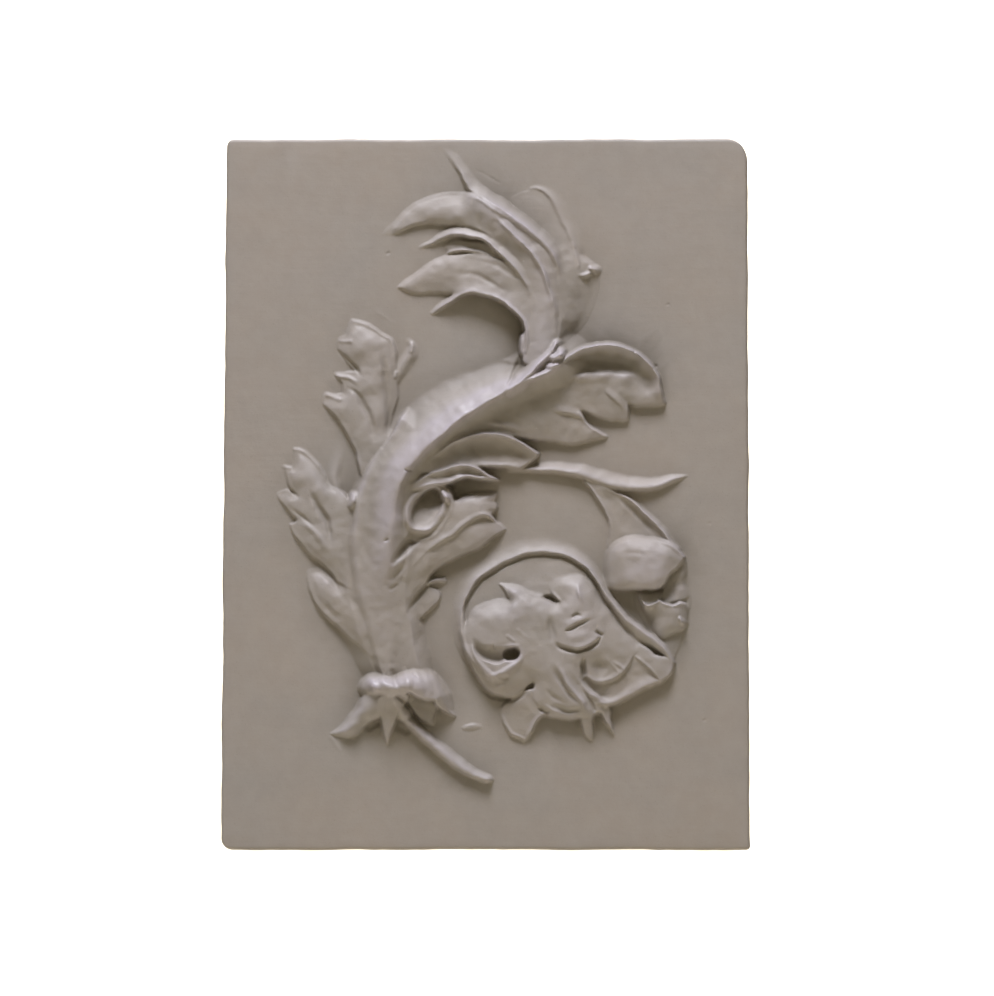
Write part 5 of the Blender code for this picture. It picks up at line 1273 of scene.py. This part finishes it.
def plaster_roughness(nodes, hollow, highlight_and_polish):
    """A thin shellac sheen in patches, smoother where it is polished and duller in the hollows."""
    rough = nodes.scaled(nodes.noise(GLOSS_PATCH_SIZE, 4.0), 0.3, 0.7, SMOOTHEST, ROUGHEST)
    rough = nodes.maths("ADD", rough, nodes.maths("MULTIPLY", highlight_and_polish, -WEAR_GLOSS))
    return nodes.maths("ADD", rough, nodes.maths("MULTIPLY", hollow, WEAR_GLOSS))


def plaster_bumps(nodes):
    """Brush marks, soft lumps and a fine grain."""
    brush = nodes.noise(BRUSH_SIZE, stretch=BRUSH_STRETCH, turn=BRUSH_TURN)
    brush = nodes.maths("MULTIPLY", brush, BRUSH_HEIGHT)
    lumps = nodes.maths("MULTIPLY", nodes.noise(LUMP_SIZE), LUMP_HEIGHT)
    grain = nodes.maths("MULTIPLY", nodes.noise(GRAIN_SIZE, 2.0), GRAIN_HEIGHT)
    bump = nodes.tree.nodes.new("ShaderNodeBump")
    nodes.give(bump.inputs["Height"], nodes.maths("ADD", nodes.maths("ADD", brush, lumps), grain))
    nodes.give(bump.inputs["Strength"], BUMP_STRENGTH)
    nodes.give(bump.inputs["Distance"], BUMP_DEPTH * MM)
    return bump.outputs["Normal"]


def plaster():
    """Shellacked plaster, polished by handling where it stands out, with painted shade in its hollows and a
    painted highlight on its crests and swells.
    """
    material = bpy.data.materials.new("plaster")
    nodes = Nodes(material)
    hollow = nodes.layer("hollow")
    # patches of the painted highlight and of the polish
    patches = nodes.scaled(nodes.noise(HIGHLIGHT_PATCH_SIZE, 4.0), 0.25, 0.65, 0.35, 1.0)
    highlight_and_polish = nodes.maths("MULTIPLY", nodes.layer("highlight_and_polish"), patches)
    nodes.give(nodes.shader.inputs["Base Color"], plaster_colour(nodes, hollow, highlight_and_polish))
    nodes.give(nodes.shader.inputs["Roughness"], plaster_roughness(nodes, hollow, highlight_and_polish))
    nodes.give(nodes.shader.inputs["Normal"], plaster_bumps(nodes))
    nodes.give(nodes.shader.inputs["Metallic"], 0.0)
    return material


def make_relief(relief):
    """The panel as one closed piece, with its carving, its painted shade and highlight layers and its
    plaster.
    """
    mesh = thinned(closed_slab(face_points(relief)))
    mark_shade_and_highlight(mesh, relief)
    mesh.materials.clear()
    mesh.materials.append(plaster())
    mesh.shade_smooth()
    piece = bpy.data.objects.new("plaster_relief", mesh)
    bpy.context.collection.objects.link(piece)
    return piece


def studio_paper():
    """The matt paper of the floor and the backdrop."""
    material = bpy.data.materials.new("studio_paper")
    nodes = Nodes(material)
    nodes.give(nodes.shader.inputs["Base Color"], PAPER_COLOUR)
    nodes.give(nodes.shader.inputs["Roughness"], PAPER_ROUGHNESS)
    return material


def make_stage():
    """A pale floor that curves up into a pale backdrop, well clear of the panel."""
    profile = [(FLOOR_FRONT_Y, FLOOR_Z)]
    for step in range(0, 91, 10):
        turn = math.radians(step)
        y = BACKDROP_Y - STAGE_BEND + STAGE_BEND * math.sin(turn)
        profile.append((y, FLOOR_Z + STAGE_BEND - STAGE_BEND * math.cos(turn)))
    profile.append((BACKDROP_Y, BACKDROP_TOP_Z))
    points = []
    faces = []
    for place, (y, z) in enumerate(profile):
        points.extend([(-STAGE_HALF_WIDTH, y, z), (STAGE_HALF_WIDTH, y, z)])
        if place:
            low = 2 * place - 2
            faces.append((low, low + 1, low + 3, low + 2))
    mesh = bpy.data.meshes.new("studio_floor")
    mesh.from_pydata(points, [], faces)
    mesh.materials.append(studio_paper())
    mesh.shade_smooth()
    floor = bpy.data.objects.new("studio_floor", mesh)
    bpy.context.collection.objects.link(floor)


def area_light(name, place, size, power, colour, target=(0, 0, 0)):
    """A flat light of a width and height, turned to its target."""
    light = bpy.data.lights.new(name, "AREA")
    light.shape = "RECTANGLE"
    light.size, light.size_y = size
    light.energy = power
    light.color = colour
    holder = bpy.data.objects.new(name, light)
    holder.location = place
    holder.rotation_euler = (Vector(target) - Vector(place)).to_track_quat("-Z", "Y").to_euler()
    bpy.context.collection.objects.link(holder)


def make_lights():
    """A soft key from above, a weak fill from the front, and light on the backdrop."""
    area_light("key", KEY_PLACE, KEY_SIZE, KEY_POWER, KEY_COLOUR)
    area_light("fill", FILL_PLACE, FILL_SIZE, FILL_POWER, FILL_COLOUR)
    area_light("backdrop", BACKDROP_LIGHT_PLACE, BACKDROP_LIGHT_SIZE, BACKDROP_LIGHT_POWER, WHITE,
        BACKDROP_LIGHT_TARGET)
    world = bpy.data.worlds.new("studio")
    world.use_nodes = True
    background = world.node_tree.nodes["Background"]
    background.inputs["Color"].default_value = WORLD_COLOUR
    background.inputs["Strength"].default_value = WORLD_STRENGTH
    bpy.context.scene.world = world
    bpy.context.scene.view_settings.view_transform = "Standard"


def make_camera():
    """The camera stands square in front of the panel, a little below its middle and to its right."""
    camera = bpy.data.cameras.new("camera")
    camera.sensor_width = SENSOR_WIDTH
    camera.lens = SENSOR_WIDTH * CAMERA_DISTANCE / FRAME_WIDTH
    holder = bpy.data.objects.new("camera", camera)
    holder.location = (CAMERA_X, -SLAB_DEPTH * MM - CAMERA_DISTANCE, CAMERA_Z)
    holder.rotation_euler = (math.radians(90), 0, 0)
    bpy.context.collection.objects.link(holder)
    bpy.context.scene.camera = holder


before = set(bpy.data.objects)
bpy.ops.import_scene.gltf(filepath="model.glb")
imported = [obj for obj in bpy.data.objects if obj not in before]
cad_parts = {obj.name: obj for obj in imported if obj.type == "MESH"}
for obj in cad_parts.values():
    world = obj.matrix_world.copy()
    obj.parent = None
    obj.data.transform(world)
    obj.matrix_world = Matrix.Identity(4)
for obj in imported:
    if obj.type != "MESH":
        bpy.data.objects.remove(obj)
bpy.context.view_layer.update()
make_camera()
panel = make_relief(carve())
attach(panel, "root")
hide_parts("acanthus_panel")
make_stage()
make_lights()
